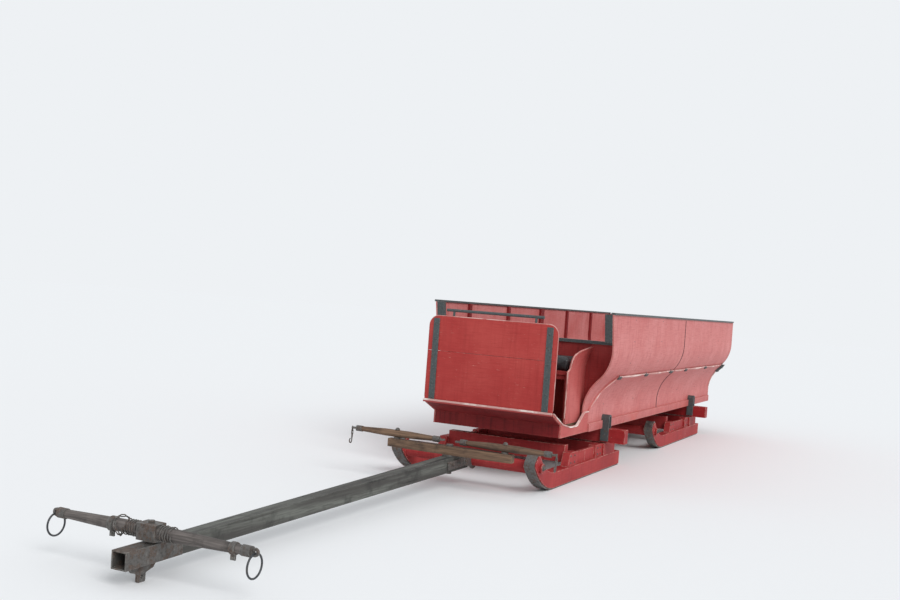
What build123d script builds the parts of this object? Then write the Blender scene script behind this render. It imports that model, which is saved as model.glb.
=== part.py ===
from build123d import *
import math
import os

# Millimetres. X points forward, Y to the sleigh's left, Z up, and the shoes stand on Z = 0.
# While it is drawn, X = 0 is the front edge of the floor. The last lines move the origin below the middle.

# Box
box_length = 5240.0
floor_half = 520.0
box_bottom = 345.0
side_height = 935.0
sheet_length = 2440.0
sheet_thickness = 12.0
sheet_gap = 2.0
joint_gap = 5.0
fit_gap = 0.3

# S-shaped section of the sides
foot_height = 130.0
curve_height = 550.0
flare = 244.0
seam_height = 439.0
seam_lap = 30.0

# Raked front edge of the sides and slanted front corner of the lower sheet, back from the floor's front
rake_foot = 570.0
rake_top = 360.0
slant_top_back = 907.0
slant_foot_back = 655.0
slant_foot_height = 172.0
upper_foot_height = 120.0

# Floor
sill_width = 60.0
sill_height = 63.0
deck_thickness = 20.0
header_length = 70.0
header_height = 95.0

# Dash and prow
dash_reach = 190.0
dash_half = 515.0
dash_bottom = 520.0
dash_top = 1175.0
dash_seam = 912.0
dash_corner = 75.0
dash_foot_corner = 34.0
prow_thickness = 12.0
strap_width = 48.0
strap_thickness = 6.0
strap_inset = 60.0
batten_depth = 32.0
trim_height = 24.0
trim_depth = 14.0
rein_rail_radius = 11.0
rein_post_radius = 9.0
rein_rail_rise = 48.0
rein_rail_overhang = 60.0
rein_post_half = 330.0

# Door sills and their scooped top edge
door_sill_end = 640.0
scoop_front = -215.0
scoop_back = -375.0
scoop_low = 62.0
scoop_rise_back = -535.0
scoop_end_height = 155.0
scoop_radius = 90.0
lip_height = 8.0
lip_overhang = 6.0

# Rails and posts
bottom_rail_height = 65.0
bottom_rail_thickness = 15.0
cap_width = 34.0
cap_height = 16.0
rail_gap = 6.0
post_width = 60.0
post_depth = 38.0
rib_depth = 35.0
rib_width = 45.0
splice_width = 90.0

# Partition and driver's seat
partition_back = 600.0
board_thickness = 18.0
partition_top = 1040.0
partition_cap_height = 25.0
partition_cap_depth = 46.0
seat_end_inset = 40.0
seat_end_front = 205.0
seat_end_shoulder = 822.0
seat_end_corner = 60.0
seat_lean_start = 800.0
seat_lean_radius = 454.0
seat_lean_turn = 45.0
seat_front = 285.0
seat_top = 824.0
seat_board_thickness = 30.0
seat_rail_inset = 10.0
seat_rail_depth = 35.0
seat_rail_height = 36.0
seat_leg_width = 42.0
cushion_thickness = 110.0
cushion_side_gap = 14.0
cushion_back_gap = 8.0
cushion_overhang = 6.0
cushion_corner = 30.0

# Passenger benches
bench_inner = 275.0
bench_rise = 430.0
bench_thickness = 30.0
bench_wall_gap = 2.0
bench_support_inset = 20.0
bench_support_outer = 455.0
bench_support_thickness = 32.0
first_support_gap = 80.0
last_support_gap = 120.0
support_count = 5

# Tailgate
gate_thickness = 20.0
gate_gap = 5.5
gate_lift = 8.0
gate_batten_width = 90.0
gate_batten_thickness = 18.0
gate_batten_margin = 60.0
hinge_half = 300.0
hinge_pin_radius = 8.0
hinge_barrel_radius = 13.0
hinge_drop = 16.0
hinge_leaf_width = 50.0
hinge_leaf_length = 110.0
hinge_leaf_thickness = 5.0
hinge_knuckle_half = 8.5
hinge_knuckle_gap = 0.5
hinge_pin_overhang = 3.0
latch_length = 60.0
latch_height = 80.0
latch_depth = 20.0

# Bolsters and stakes
front_bolster_back = 1070.0
rear_bolster_back = 4245.0
bolster_length = 100.0
bolster_bottom = 230.0
bolster_half = 720.0
stake_width = 66.0
stake_thickness = 16.0
stake_span = 72.0
stake_rise = 113.0
stake_foot_gap = 12.0
stake_bend = 30.0

# Bobs, measured forward from the bolster's centre
heel = -400.0
runner_flat_end = 1240.0
runner_centre = 515.0
runner_width = 90.0
runner_height = 110.0
shoe_thickness = 12.0
shoe_width = 76.0
nose_radius = 560.0
nose_angle = 50.0
nose_tip_round = 30.0
shoe_wrap_angle = 36.0
knee_width = 60.0
bob_top = 222.0
bench_back = -250.0
bench_front = 60.0
bench_half = 558.0
rear_knee_front = 240.0
front_knee_back = 720.0
front_knee_front = 920.0
knee_rake = 45.0
web_thickness = 26.0
web_drop = 12.0
web_seam = 470.0
cross_beam_back = 770.0
cross_beam_length = 70.0
cross_beam_bottom = 140.0
cross_beam_top = 270.0
nose_beam_angle = 40.0
nose_beam_radius = 46.0
nose_cap_radius = 34.0
nose_cap_length = 22.0
king_pin_radius = 20.0
king_pin_gap = 0.5
king_pin_head_radius = 34.0
king_pin_head_height = 16.0
king_pin_top_gap = 6.0
rub_plate_radius = 58.0

# Pole, measured forward from its hinge
pole_length = 3500.0
pole_start = 75.0
pole_width = 90.0
pole_height = 100.0
pole_tip_width = 76.0
pole_tip_height = 78.0
tip_length = 360.0
tip_size = 80.0
tip_wall = 6.0
tenon_length = 130.0
lug_drop = 80.0
lug_thickness = 14.0
lug_back = 140.0
lug_hole_radius = 9.0
lug_hole_up = 24.0
lug_half_width = 24.0
lug_root = 42.0
lug_bend = 9.0
lug_flare = 30.0
eye_radius = 68.0
eye_thickness = 12.0
eye_gap = 0.6
pole_iron_length = 420.0
pole_iron_height = 55.0
pole_iron_neck = 140.0

# Evener and singletrees
evener_reach = 300.0
evener_half = 470.0
evener_depth = 76.0
evener_end_depth = 52.0
evener_height = 56.0
evener_middle_half = 110.0
evener_pin_radius = 12.0
evener_pin_tail = 20.0
evener_plate_radius = 48.0
evener_nut_radius = 24.0
lift_gap = 12.0
pin_gap = 0.3
singletree_half = 325.0
singletree_offset = 410.0
singletree_radius = 25.0
singletree_end_radius = 17.0
singletree_pin_radius = 9.0
singletree_boss_radius = 24.0
pin_head_radius = 17.0
pin_head_height = 14.0
ferrule_length = 42.0
ferrule_wall = 4.0
trace_eye_radius = 12.0
trace_eye_outer = 22.0
trace_eye_thickness = 10.0
eye_seat = 3.0
eye_neck_share = 0.7
bar_middle_share = 0.3

# Neck yoke
yoke_back = 190.0
yoke_half = 525.0
yoke_radius = 29.0
yoke_end_radius = 20.0
yoke_clamp_size = 74.0
yoke_clamp_length = 100.0
yoke_pin_radius = 8.0
yoke_washer_radius = 21.0
yoke_nut_radius = 14.0
yoke_nut_height = 10.0
yoke_ring_radius = 52.0
yoke_ring_wire = 4.5
yoke_eye_radius = 9.0
yoke_eye_outer = 19.0
yoke_eye_thickness = 10.0

# Worked-out sizes
half_curve = curve_height / 2
half_flare = flare / 2
curve_radius = (half_curve**2 + half_flare**2) / (2 * half_flare)
curve_angle = math.degrees(math.asin(half_curve / curve_radius))
curve_start = box_bottom + foot_height
curve_end = curve_start + curve_height
side_top = box_bottom + side_height
floor_top = box_bottom + sill_height + deck_thickness
seam_z = box_bottom + seam_height
flared_half = floor_half + flare
lug_centre = pole_length - lug_back
far = 10000.0

parts = {}


def block(x0, x1, y0, y1, z0, z1):
    """Box between two corners."""
    return Pos((x0 + x1) / 2, (y0 + y1) / 2, (z0 + z1) / 2) * Box(abs(x1 - x0), abs(y1 - y0), abs(z1 - z0))


def side_prism(points, y0, y1):
    """Outline in X and Z, drawn out from y0 to y1."""
    face = Plane.XZ * make_face(Polyline(*points, close=True))
    return Pos(0, y0, 0) * extrude(face, -(y1 - y0))


def side_face(lines, y0, y1):
    """Closed lines in X and Z, drawn out from y0 to y1."""
    return Pos(0, y0, 0) * extrude(Plane.XZ * make_face(lines), -(y1 - y0))


def cross_prism(points, x0, x1):
    """Outline in Y and Z, drawn out from x0 to x1."""
    face = Plane.YZ * make_face(Polyline(*points, close=True))
    return Pos(x0, 0, 0) * extrude(face, x1 - x0)


def rod(x, y, z, radius, length, direction="Z"):
    """Round bar that starts at a point and runs along an axis."""
    turn = {"X": Rot(0, 90, 0), "Y": Rot(-90, 0, 0), "Z": Rot(0, 0, 0)}[direction]
    along = Pos(x, y, z) * turn
    return along * Pos(0, 0, length / 2) * Cylinder(radius, length)


def both(solid):
    """The left piece and its mirror image."""
    return [solid, mirror(solid, Plane.XZ)]


def add(name, *solids):
    """Keep the solids of one node."""
    flat = []
    for item in solids:
        flat.extend(item if isinstance(item, (list, tuple)) else [item])
    parts.setdefault(name, []).extend(flat)


def wall_line(offset):
    """Left wall's S line in Y and Z, at a distance outward from the lower sheets' outer face."""
    foot = Line((floor_half + offset, box_bottom), (floor_half + offset, curve_start))
    outward = CenterArc((floor_half + curve_radius, curve_start), curve_radius - offset, 180, -curve_angle)
    back = CenterArc((flared_half - curve_radius, curve_end), curve_radius + offset, -curve_angle,
                     curve_angle)
    top = Line((flared_half + offset, curve_end), (flared_half + offset, side_top))
    return foot + outward + back + top


def wall_strip(inner, outer, x0, x1):
    """Left wall between two offsets, drawn out along the box."""
    ends = Line((floor_half + inner, box_bottom), (floor_half + outer, box_bottom))
    ends += Line((flared_half + inner, side_top), (flared_half + outer, side_top))
    face = make_face(wall_line(inner) + wall_line(outer) + ends)
    return Pos(x0, 0, 0) * extrude(Plane.YZ * face, x1 - x0)


def wall_y(height, offset):
    """Y of the left wall's line at a height, for an offset outward."""
    if height <= curve_start:
        return floor_half + offset
    if height >= curve_end:
        return flared_half + offset
    turn = math.radians(curve_angle)
    if height <= curve_start + (curve_radius - offset) * math.sin(turn):
        run = math.sqrt((curve_radius - offset) ** 2 - (height - curve_start) ** 2)
        return floor_half + curve_radius - run
    run = math.sqrt((curve_radius + offset) ** 2 - (curve_end - height) ** 2)
    return flared_half - curve_radius + run


def section_panel(lower_offset, upper_offset, x0, x1, z0, z1):
    """Full-width panel that follows both walls, with one offset up to the seam and another above it."""
    pieces = []
    for offset, low, high in ((lower_offset, z0, seam_z), (upper_offset, z0, z1)):
        left = wall_line(offset)
        right = mirror(left, Plane.YZ)
        ends = Line((-floor_half - offset, box_bottom), (floor_half + offset, box_bottom))
        ends += Line((-flared_half - offset, side_top), (flared_half + offset, side_top))
        panel = Pos(x0, 0, 0) * extrude(Plane.YZ * make_face(left + right + ends), x1 - x0)
        pieces.append(panel & block(x0, x1, -far, far, low, high))
    return pieces[0] + pieces[1]


# Floor of three long sills, a front header, a rear header and the deck
sill_front = -header_length
sill_rear = -box_length + header_length
inner_half = floor_half - sheet_thickness
sill_top = box_bottom + sill_height
for sill_y in (inner_half - sill_width / 2, 0.0, -inner_half + sill_width / 2):
    add("floor_sills", block(sill_rear, sill_front, sill_y - sill_width / 2, sill_y + sill_width / 2,
                             box_bottom, sill_top))
add("floor_headers", block(-header_length, 0, -inner_half, inner_half, box_bottom,
                           box_bottom + header_height))
add("floor_headers", block(-box_length, sill_rear, -inner_half, inner_half, box_bottom, sill_top))
deck_half = inner_half - rib_depth
add("floor_deck", block(-box_length, -header_length, -deck_half, deck_half, sill_top, floor_top))

# Prow panel from the header up to the dash
header_top = box_bottom + header_height
prow_slope = math.atan2(dash_bottom - header_top, dash_reach)
prow_skin = prow_thickness / math.cos(prow_slope)
prow_heel = -prow_thickness / math.sin(prow_slope)
prow_head = (dash_reach, dash_bottom + prow_skin)
add("prow_panel", side_prism([(0, header_top), (dash_reach, dash_bottom), prow_head, (prow_heel, header_top)],
                             -inner_half, inner_half))

# Dash of a lower and an upper sheet, with rounded outer corners
dash_face = dash_reach + sheet_thickness
lower_dash = block(dash_reach, dash_face, -dash_half, dash_half, dash_bottom, dash_seam - sheet_gap / 2)
foot_corners = lower_dash.edges().filter_by(Axis.X).group_by(Axis.Z)[0]
add("dash_lower", fillet(foot_corners, dash_foot_corner))
upper_dash = block(dash_reach, dash_face, -dash_half, dash_half, dash_seam + sheet_gap / 2, dash_top)
top_corners = upper_dash.edges().filter_by(Axis.X).group_by(Axis.Z)[-1]
add("dash_upper", fillet(top_corners, dash_corner))

# Two battens behind the dash, two straps in front of it
strap_y = dash_half - strap_inset
strap_top = dash_top - dash_corner / 4
add("dash_straps", both(block(dash_face, dash_face + strap_thickness, strap_y - strap_width / 2,
                              strap_y + strap_width / 2, dash_bottom, strap_top)))
batten_low = dash_bottom + prow_skin + fit_gap
add("dash_battens", both(block(dash_reach - batten_depth, dash_reach, rein_post_half - strap_width / 2,
                               rein_post_half + strap_width / 2, batten_low, dash_top)))

# Moulding along the dash's foot, and the rein rail on two posts
add("dash_trim", block(dash_face + strap_thickness, dash_face + strap_thickness + trim_depth, -dash_half,
                       dash_half, dash_bottom, dash_bottom + trim_height))
rein_z = dash_top + rein_rail_rise
rein_x = dash_reach - batten_depth / 2
rein_rail_half = rein_post_half + rein_rail_overhang
rein_rail = rod(rein_x, -rein_rail_half, rein_z, rein_rail_radius, 2 * rein_rail_half, "Y")
for post_y in (-rein_post_half, rein_post_half):
    rein_rail += rod(rein_x, post_y, dash_top, rein_post_radius, rein_rail_rise)
add("rein_rail", rein_rail)

# Door sills, flat boards flush with the foot of the sides, with a scooped top edge and an edging on it
scoop_end_z = box_bottom + scoop_end_height
scoop_path = FilletPolyline(
    prow_head, (prow_heel, header_top), (scoop_front, box_bottom + scoop_low),
    (scoop_back, box_bottom + scoop_low), (scoop_rise_back, scoop_end_z), (-door_sill_end, scoop_end_z),
    radius=scoop_radius)
sill_outline = scoop_path + Polyline(
    prow_head, (dash_reach, dash_bottom), (0, header_top), (0, box_bottom), (-door_sill_end, box_bottom),
    (-door_sill_end, scoop_end_z))
upper_sheet = wall_strip(-2 * sheet_thickness, -sheet_thickness, -door_sill_end, 0)
add("door_sills", both(side_face(sill_outline, inner_half, floor_half) - upper_sheet))
lip_outline = scoop_path + Pos(0, lip_height) * scoop_path
for lip_x, lip_z in (prow_head, (-door_sill_end, scoop_end_z)):
    lip_outline += Line((lip_x, lip_z), (lip_x, lip_z + lip_height))
add("dash_trim", both(side_face(lip_outline, inner_half, floor_half + lip_overhang) - upper_sheet))

# Side sheets in two tiers, the upper one behind the lower, each of a front and a rear sheet
joint_x = -rake_top - sheet_length
front_joint_x = joint_x + joint_gap / 2
rear_joint_x = joint_x - joint_gap / 2
lower_start = -door_sill_end - fit_gap
slant_turn = math.atan2(seam_height - slant_foot_height, slant_top_back - slant_foot_back)
lap_foot_x = -slant_foot_back - seam_lap * math.sin(slant_turn)
lap_foot_height = slant_foot_height - seam_lap * math.cos(slant_turn)
lap_top_x = lap_foot_x - (seam_height - seam_lap - lap_foot_height) / math.tan(slant_turn)


def rake_x(height):
    """X of the sides' raked front edge at a height above the box's bottom."""
    return -(rake_foot + (rake_top - rake_foot) * height / side_height)


outlines = {
    "lower": [
        [(lower_start, 0), (front_joint_x, 0), (front_joint_x, seam_height), (-slant_top_back, seam_height),
         (-slant_foot_back, slant_foot_height), (lower_start, scoop_end_height)],
        [(rear_joint_x, 0), (-box_length, 0), (-box_length, seam_height), (rear_joint_x, seam_height)],
    ],
    "upper": [
        [(rake_x(upper_foot_height), upper_foot_height), (lap_foot_x, upper_foot_height),
         (lap_foot_x, lap_foot_height), (lap_top_x, seam_height - seam_lap),
         (front_joint_x, seam_height - seam_lap), (front_joint_x, side_height),
         (rake_x(side_height), side_height)],
        [(rear_joint_x, seam_height - seam_lap), (-box_length, seam_height - seam_lap),
         (-box_length, side_height), (rear_joint_x, side_height)],
    ],
}
offsets = {"lower": (-sheet_thickness, 0.0), "upper": (-2 * sheet_thickness, -sheet_thickness)}
for tier, pair in outlines.items():
    skin = wall_strip(*offsets[tier], -box_length, 0)
    for outline in pair:
        points = [(x, box_bottom + height) for x, height in outline]
        sheet = skin & side_prism(points, 0, far)
        add(f"side_{tier}_left", sheet)
        add(f"side_{tier}_right", mirror(sheet, Plane.XZ))

# Ribs inside the walls: back from the floor's front, width
ribs = ((1000.0, rib_width), (1900.0, rib_width), (-joint_x, splice_width), (3600.0, rib_width),
        (4450.0, rib_width), (box_length - rib_width / 2, rib_width))
for back, width in ribs:
    x0, x1 = -back - width / 2, -back + width / 2
    rib = wall_strip(-sheet_thickness - rib_depth, -2 * sheet_thickness, x0, x1)
    packer = wall_strip(-2 * sheet_thickness - sheet_gap, -sheet_thickness, x0, x1)
    rib += packer & block(x0, x1, 0, far, 0, seam_z - seam_lap - fit_gap)
    rib = rib & block(x0, x1, 0, far, sill_top, far)
    add("side_ribs", both(rib))

# Rails along the foot, left open for the stakes, and caps along the top
stops = [door_sill_end]
for bolster_back in (front_bolster_back, rear_bolster_back):
    stake_front = -bolster_back + bolster_length / 2 + stake_thickness
    stops += [-stake_front - rail_gap, -stake_front + stake_span + rail_gap]
stops.append(box_length)
for near, away in zip(stops[0::2], stops[1::2]):
    add("bottom_rails", both(block(-away, -near, floor_half, floor_half + bottom_rail_thickness, box_bottom,
                                   box_bottom + bottom_rail_height)))
cap_centre = flared_half - 1.5 * sheet_thickness
add("cap_rails", both(block(-box_length, -rake_top, cap_centre - cap_width / 2, cap_centre + cap_width / 2,
                            side_top, side_top + cap_height)))

# Partition behind the driver, its cap, and the grey posts on the sides' front edge
partition_x = -partition_back
wall_inner = -2 * sheet_thickness
partition = section_panel(wall_inner - fit_gap, wall_inner - fit_gap, partition_x - board_thickness,
                          partition_x, floor_top, partition_top)
add("partition", partition)
cap_y = wall_y(partition_top, wall_inner) - fit_gap
middle_x = partition_x - board_thickness / 2
add("cap_rails", block(middle_x - partition_cap_depth / 2, middle_x + partition_cap_depth / 2, -cap_y, cap_y,
                       partition_top, partition_top + partition_cap_height))
post_z = partition_top + partition_cap_height
post_foot = rake_x(post_z - box_bottom)
post_head = rake_x(side_height)
post_y = flared_half + wall_inner
post = side_prism([(post_foot, post_z), (post_head, side_top), (post_head - post_depth, side_top),
                   (post_foot - post_depth, post_z)], post_y - post_width, post_y)
add("end_posts", both(post))

# Driver's seat between end boards that lean out above the cushion: back from the floor's front, height
end_outer = floor_half - seat_end_inset
end_inner = end_outer - board_thickness
end_top = ((partition_back, 1018.0), (385.0, 988.0), (262.0, 950.0), (252.0, 846.0))
end_top_points = [(-back, height) for back, height in end_top]
end_outline = FilletPolyline(*end_top_points, radius=seat_end_corner)
end_outline += Polyline(end_top_points[-1], (-seat_end_front, seat_end_shoulder),
                        (-seat_end_front, floor_top), (partition_x, floor_top), end_top_points[0])
lean_lines = Line((end_inner, floor_top), (end_outer, floor_top))
lean_turn = math.radians(seat_lean_turn)
lean_y = end_outer + seat_lean_radius
lean_tips = []
for face_y in (end_inner, end_outer):
    lean_radius = lean_y - face_y
    lean_lines += Line((face_y, floor_top), (face_y, seat_lean_start))
    lean_lines += CenterArc((lean_y, seat_lean_start), lean_radius, 180, -seat_lean_turn)
    lean_tips.append((lean_y - lean_radius * math.cos(lean_turn),
                      seat_lean_start + lean_radius * math.sin(lean_turn)))
lean_lines += Line(*lean_tips)
leaning = Pos(partition_x, 0, 0) * extrude(Plane.YZ * make_face(lean_lines), partition_back)
add("seat_ends", both(leaning & side_face(end_outline, 0, far)))
seat_under = seat_top - seat_board_thickness
rail_front = -seat_front - seat_rail_inset
rail_rear = rail_front - seat_rail_depth
seat_frame = block(rail_rear, rail_front, -end_inner, end_inner, seat_under - seat_rail_height, seat_under)
seat_leg_half = end_inner - fit_gap - seat_leg_width / 2
for leg_y in (-seat_leg_half, seat_leg_half):
    seat_frame += block(rail_rear, rail_front, leg_y - seat_leg_width / 2, leg_y + seat_leg_width / 2,
                        floor_top, seat_under)
add("seat_frame", seat_frame)
add("driver_seat", block(partition_x, -seat_front, -end_inner, end_inner, seat_under, seat_top))
cushion_half = end_inner - cushion_side_gap
cushion = block(partition_x + cushion_back_gap, -seat_front + cushion_overhang, -cushion_half, cushion_half,
                seat_top, seat_top + cushion_thickness)
add("driver_cushion", fillet(cushion.edges().filter_by(Axis.Z), cushion_corner))

# Benches along both sides on evenly spaced upright boards
bench_under = floor_top + bench_rise
bench_outer = wall_y(bench_under, -sheet_thickness - rib_depth) - bench_wall_gap
bench_start = partition_back + board_thickness
bench_end = box_length - gate_gap
add("benches", both(block(-bench_end, -bench_start, bench_inner, bench_outer, bench_under,
                          bench_under + bench_thickness)))
first_support = partition_back + board_thickness + first_support_gap
support_pitch = (box_length - last_support_gap - first_support) / (support_count - 1)
support_backs = [first_support + i * support_pitch for i in range(support_count)]
for back in support_backs:
    add("bench_supports", both(block(-back - bench_support_thickness / 2, -back + bench_support_thickness / 2,
                                     bench_inner + bench_support_inset, bench_support_outer, floor_top,
                                     bench_under)))

# Tailgate behind the sides' rear edge, hinged below its foot
gate_front = -box_length - gate_gap
gate_back = gate_front - gate_thickness
gate = section_panel(0, -sheet_thickness, gate_back, gate_front, box_bottom + gate_lift, side_top)
batten_foot = box_bottom + gate_batten_margin
for low in (batten_foot, side_top - gate_batten_margin - gate_batten_width):
    half = wall_y(low, -sheet_thickness) - gate_batten_margin
    gate += block(gate_back - gate_batten_thickness, gate_back, -half, half, low, low + gate_batten_width)
add("tailgate", gate)
hinge_x = (gate_front + gate_back) / 2
hinge_z = box_bottom - hinge_drop
leaf_half = hinge_leaf_width / 2
leaf_inner = hinge_knuckle_half + hinge_knuckle_gap
for y in (-hinge_half, hinge_half):
    leaves = rod(hinge_x, y - leaf_half - hinge_pin_overhang, hinge_z, hinge_pin_radius,
                 hinge_leaf_width + 2 * hinge_pin_overhang, "Y")
    for y0, y1 in ((y - leaf_half, y - leaf_inner), (y + leaf_inner, y + leaf_half)):
        knuckle = rod(hinge_x, y0, hinge_z, hinge_barrel_radius, y1 - y0, "Y")
        knuckle += block(hinge_x, -box_length + hinge_leaf_length, y0, y1, box_bottom - hinge_leaf_thickness,
                         box_bottom)
        leaves += knuckle
    add("hinge_leaves", leaves)
    barrel = rod(hinge_x, y - hinge_knuckle_half, hinge_z, hinge_barrel_radius, 2 * hinge_knuckle_half, "Y")
    barrel += block(gate_back - hinge_leaf_thickness, gate_back, y - hinge_knuckle_half,
                    y + hinge_knuckle_half, hinge_z, batten_foot)
    barrel -= rod(hinge_x, y - leaf_inner, hinge_z, hinge_pin_radius + pin_gap, 2 * leaf_inner, "Y")
    add("hinge_straps", barrel)

# Latch brackets on the sides' rear edge, just below the seam
latch = wall_strip(0, latch_depth, -box_length, -box_length + latch_length)
add("gate_latches", both(latch & block(-far, far, 0, far, seam_z - latch_height, seam_z)))

# Bolsters under the box, with stakes bent over them beside the box's foot
for back in (front_bolster_back, rear_bolster_back):
    bar = block(-back - bolster_length / 2, -back + bolster_length / 2, -bolster_half, bolster_half,
                bolster_bottom, box_bottom)
    bar -= rod(-back, 0, bolster_bottom, king_pin_radius + king_pin_gap, box_bottom - bolster_bottom)
    add("bolsters", bar)
    stake_front = -back + bolster_length / 2 + stake_thickness
    stake_back = stake_front - stake_span
    stake_top = box_bottom + stake_rise
    stake_foot = bolster_bottom + stake_foot_gap
    inner_x0, inner_x1, inner_top = (stake_back + stake_thickness, stake_front - stake_thickness,
                                     stake_top - stake_thickness)
    stake_outline = FilletPolyline((stake_front, stake_foot), (stake_front, stake_top),
                                   (stake_back, stake_top), (stake_back, box_bottom), radius=stake_bend)
    stake_outline += FilletPolyline((inner_x1, stake_foot), (inner_x1, inner_top), (inner_x0, inner_top),
                                    (inner_x0, box_bottom), radius=stake_bend - stake_thickness)
    stake_outline += Line((stake_front, stake_foot), (inner_x1, stake_foot))
    stake_outline += Line((stake_back, box_bottom), (inner_x0, box_bottom))
    add("stakes", both(side_face(stake_outline, floor_half, floor_half + stake_width)))

# Runners' outline, with the nose's centre above the end of their flat length
nose_centre = (runner_flat_end, shoe_thickness + nose_radius)
runner_top = shoe_thickness + runner_height


def round_nose(radius, angle):
    """Point at a radius from the nose's centre, at an angle forward from straight down."""
    turn = math.radians(angle)
    return (nose_centre[0] + radius * math.sin(turn), nose_centre[1] - radius * math.cos(turn))


def runner_face():
    """Side outline of a runner: flat, then turned up at the nose, with a rounded tip."""
    inner = nose_radius - runner_height
    lines = Line((heel, shoe_thickness), (runner_flat_end, shoe_thickness))
    lines += CenterArc(nose_centre, nose_radius, -90, nose_angle)
    lines += Line(round_nose(nose_radius, nose_angle), round_nose(inner, nose_angle))
    lines += CenterArc(nose_centre, inner, -90, nose_angle)
    lines += Polyline((runner_flat_end, runner_top), (heel, runner_top), (heel, shoe_thickness))
    face = make_face(lines)
    return fillet(face.vertices().sort_by(Axis.X)[-2:], nose_tip_round)


def shoe_face():
    """Side outline of a shoe: along the sole, round the tip and a little way back over it."""
    runner = runner_face()
    band = offset(runner, shoe_thickness, kind=Kind.INTERSECTION) - runner
    middle = nose_radius - runner_height / 2
    wrap = round_nose(2 * nose_radius, shoe_wrap_angle)
    behind_wrap = make_face(Polyline(nose_centre, wrap, (nose_centre[0], -far), (-far, -far),
                                     (-far, nose_centre[1]), close=True))
    open_side = Pos(*nose_centre) * Circle(middle) & behind_wrap
    length = runner_flat_end - heel + 2 * shoe_thickness
    open_side += Pos(runner_flat_end - length / 2, shoe_thickness + runner_height) * Rectangle(
        length, runner_height)
    open_side += Pos(heel - shoe_thickness, 0) * Rectangle(2 * shoe_thickness, 2 * runner_height)
    return band - open_side


nose_middle = nose_radius - runner_height / 2
nose_x, nose_z = round_nose(nose_middle, nose_beam_angle)
runner_inner = runner_centre - runner_width / 2
runner_outer = runner_centre + runner_width / 2


def bob(prefix, centre_x):
    """One bob under the bolster at centre_x: runners, shoes, knees, webs and beams."""
    place = Pos(centre_x, 0, 0)
    runner = Pos(0, runner_inner, 0) * extrude(Plane.XZ * runner_face(), -runner_width)
    runner -= rod(nose_x, runner_inner - fit_gap, nose_z, nose_beam_radius / 2,
                  runner_width + 2 * fit_gap, "Y")
    shoe = Pos(0, runner_centre - shoe_width / 2, 0) * extrude(Plane.XZ * shoe_face(), -shoe_width)
    knee_y0 = runner_centre - knee_width / 2
    knee_y1 = runner_centre + knee_width / 2
    rear_knee = block(bench_front, rear_knee_front, knee_y0, knee_y1, runner_top, bob_top)
    front_knee = side_prism([(front_knee_back, runner_top), (front_knee_front, runner_top),
                             (front_knee_front - knee_rake, bob_top), (front_knee_back, bob_top)],
                            knee_y0, knee_y1)
    add(f"{prefix}_runners", [place * s for s in both(runner)])
    add(f"{prefix}_shoes", [place * s for s in both(shoe)])
    knees = rear_knee + front_knee
    for x0, x1 in ((rear_knee_front, web_seam), (web_seam, front_knee_back)):
        web = block(x0, x1, runner_centre - web_thickness / 2, runner_centre + web_thickness / 2, runner_top,
                    bob_top - web_drop)
        knees += web
    knees -= block(web_seam - sheet_gap / 2, web_seam + sheet_gap / 2, runner_centre, runner_outer,
                   runner_top, bob_top)
    add(f"{prefix}_knees", [place * s for s in both(knees)])
    bench = block(bench_back, bench_front, -bench_half, bench_half, runner_top, bob_top)
    bench -= rod(0, 0, runner_top, king_pin_radius, bob_top - runner_top)
    add(f"{prefix}_bench", place * bench)
    beam = block(cross_beam_back, cross_beam_back + cross_beam_length, -knee_y0, knee_y0, cross_beam_bottom,
                 cross_beam_top)
    add(f"{prefix}_beams", place * beam)
    roller = rod(nose_x, -runner_inner, nose_z, nose_beam_radius, 2 * runner_inner, "Y")
    roller += rod(nose_x, -runner_outer, nose_z, nose_beam_radius / 2, 2 * runner_outer, "Y")
    roller += rod(nose_x, -runner_outer - nose_cap_length, nose_z, nose_cap_radius, nose_cap_length, "Y")
    roller += rod(nose_x, runner_outer, nose_z, nose_cap_radius, nose_cap_length, "Y")
    add(f"{prefix}_beams", place * roller)
    head_low = runner_top - king_pin_head_height
    pin = rod(0, 0, head_low, king_pin_radius, box_bottom - king_pin_top_gap - head_low)
    pin += rod(0, 0, head_low, king_pin_head_radius, king_pin_head_height)
    pin += rod(0, 0, bob_top, rub_plate_radius, bolster_bottom - bob_top - fit_gap)
    add(f"{prefix}_king_pin", place * pin)


bob("front", -front_bolster_back)
bob("rear", -rear_bolster_back)

# The pole lies with its lug on the ground, so all that it carries is tipped about its hinge
hinge_point = (nose_x - front_bolster_back, nose_z)
tip_centre = tip_size / 2 + lug_drop
pole_tip_angle = math.degrees(math.asin((hinge_point[1] - tip_centre) / lug_centre))
pole_place = Pos(hinge_point[0], 0, hinge_point[1]) * Rot(0, pole_tip_angle, 0)


def pole_add(name, *solids):
    """Keep solids drawn along the level pole from its hinge, at their place on the lowered pole."""
    flat = []
    for item in solids:
        flat.extend(item if isinstance(item, (list, tuple)) else [item])
    add(name, [pole_place * solid for solid in flat])


tube_start = pole_length - tip_length
rear_end = Plane.YZ.offset(pole_start) * Rectangle(pole_width, pole_height)
front_end = Plane.YZ.offset(tube_start) * Rectangle(pole_tip_width, pole_tip_height)
timber = loft([rear_end, front_end])
tenon = tip_size - 2 * tip_wall - 2 * fit_gap
timber += block(tube_start, tube_start + tenon_length, -tenon / 2, tenon / 2, -tenon / 2, tenon / 2)
timber -= rod(evener_reach, 0, -pole_height, evener_pin_radius, 2 * pole_height)
pole_add("pole_timber", timber)
tube = block(tube_start, pole_length, -tip_size / 2, tip_size / 2, -tip_size / 2, tip_size / 2)
bore = tip_size / 2 - tip_wall
tube -= block(tube_start - fit_gap, pole_length + fit_gap, -bore, bore, -bore, bore)
yoke_x = pole_length - yoke_back
tube -= rod(yoke_x, 0, 0, yoke_pin_radius, tip_size)
lug_top = -tip_size / 2
lug_low = lug_top - lug_drop
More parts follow.
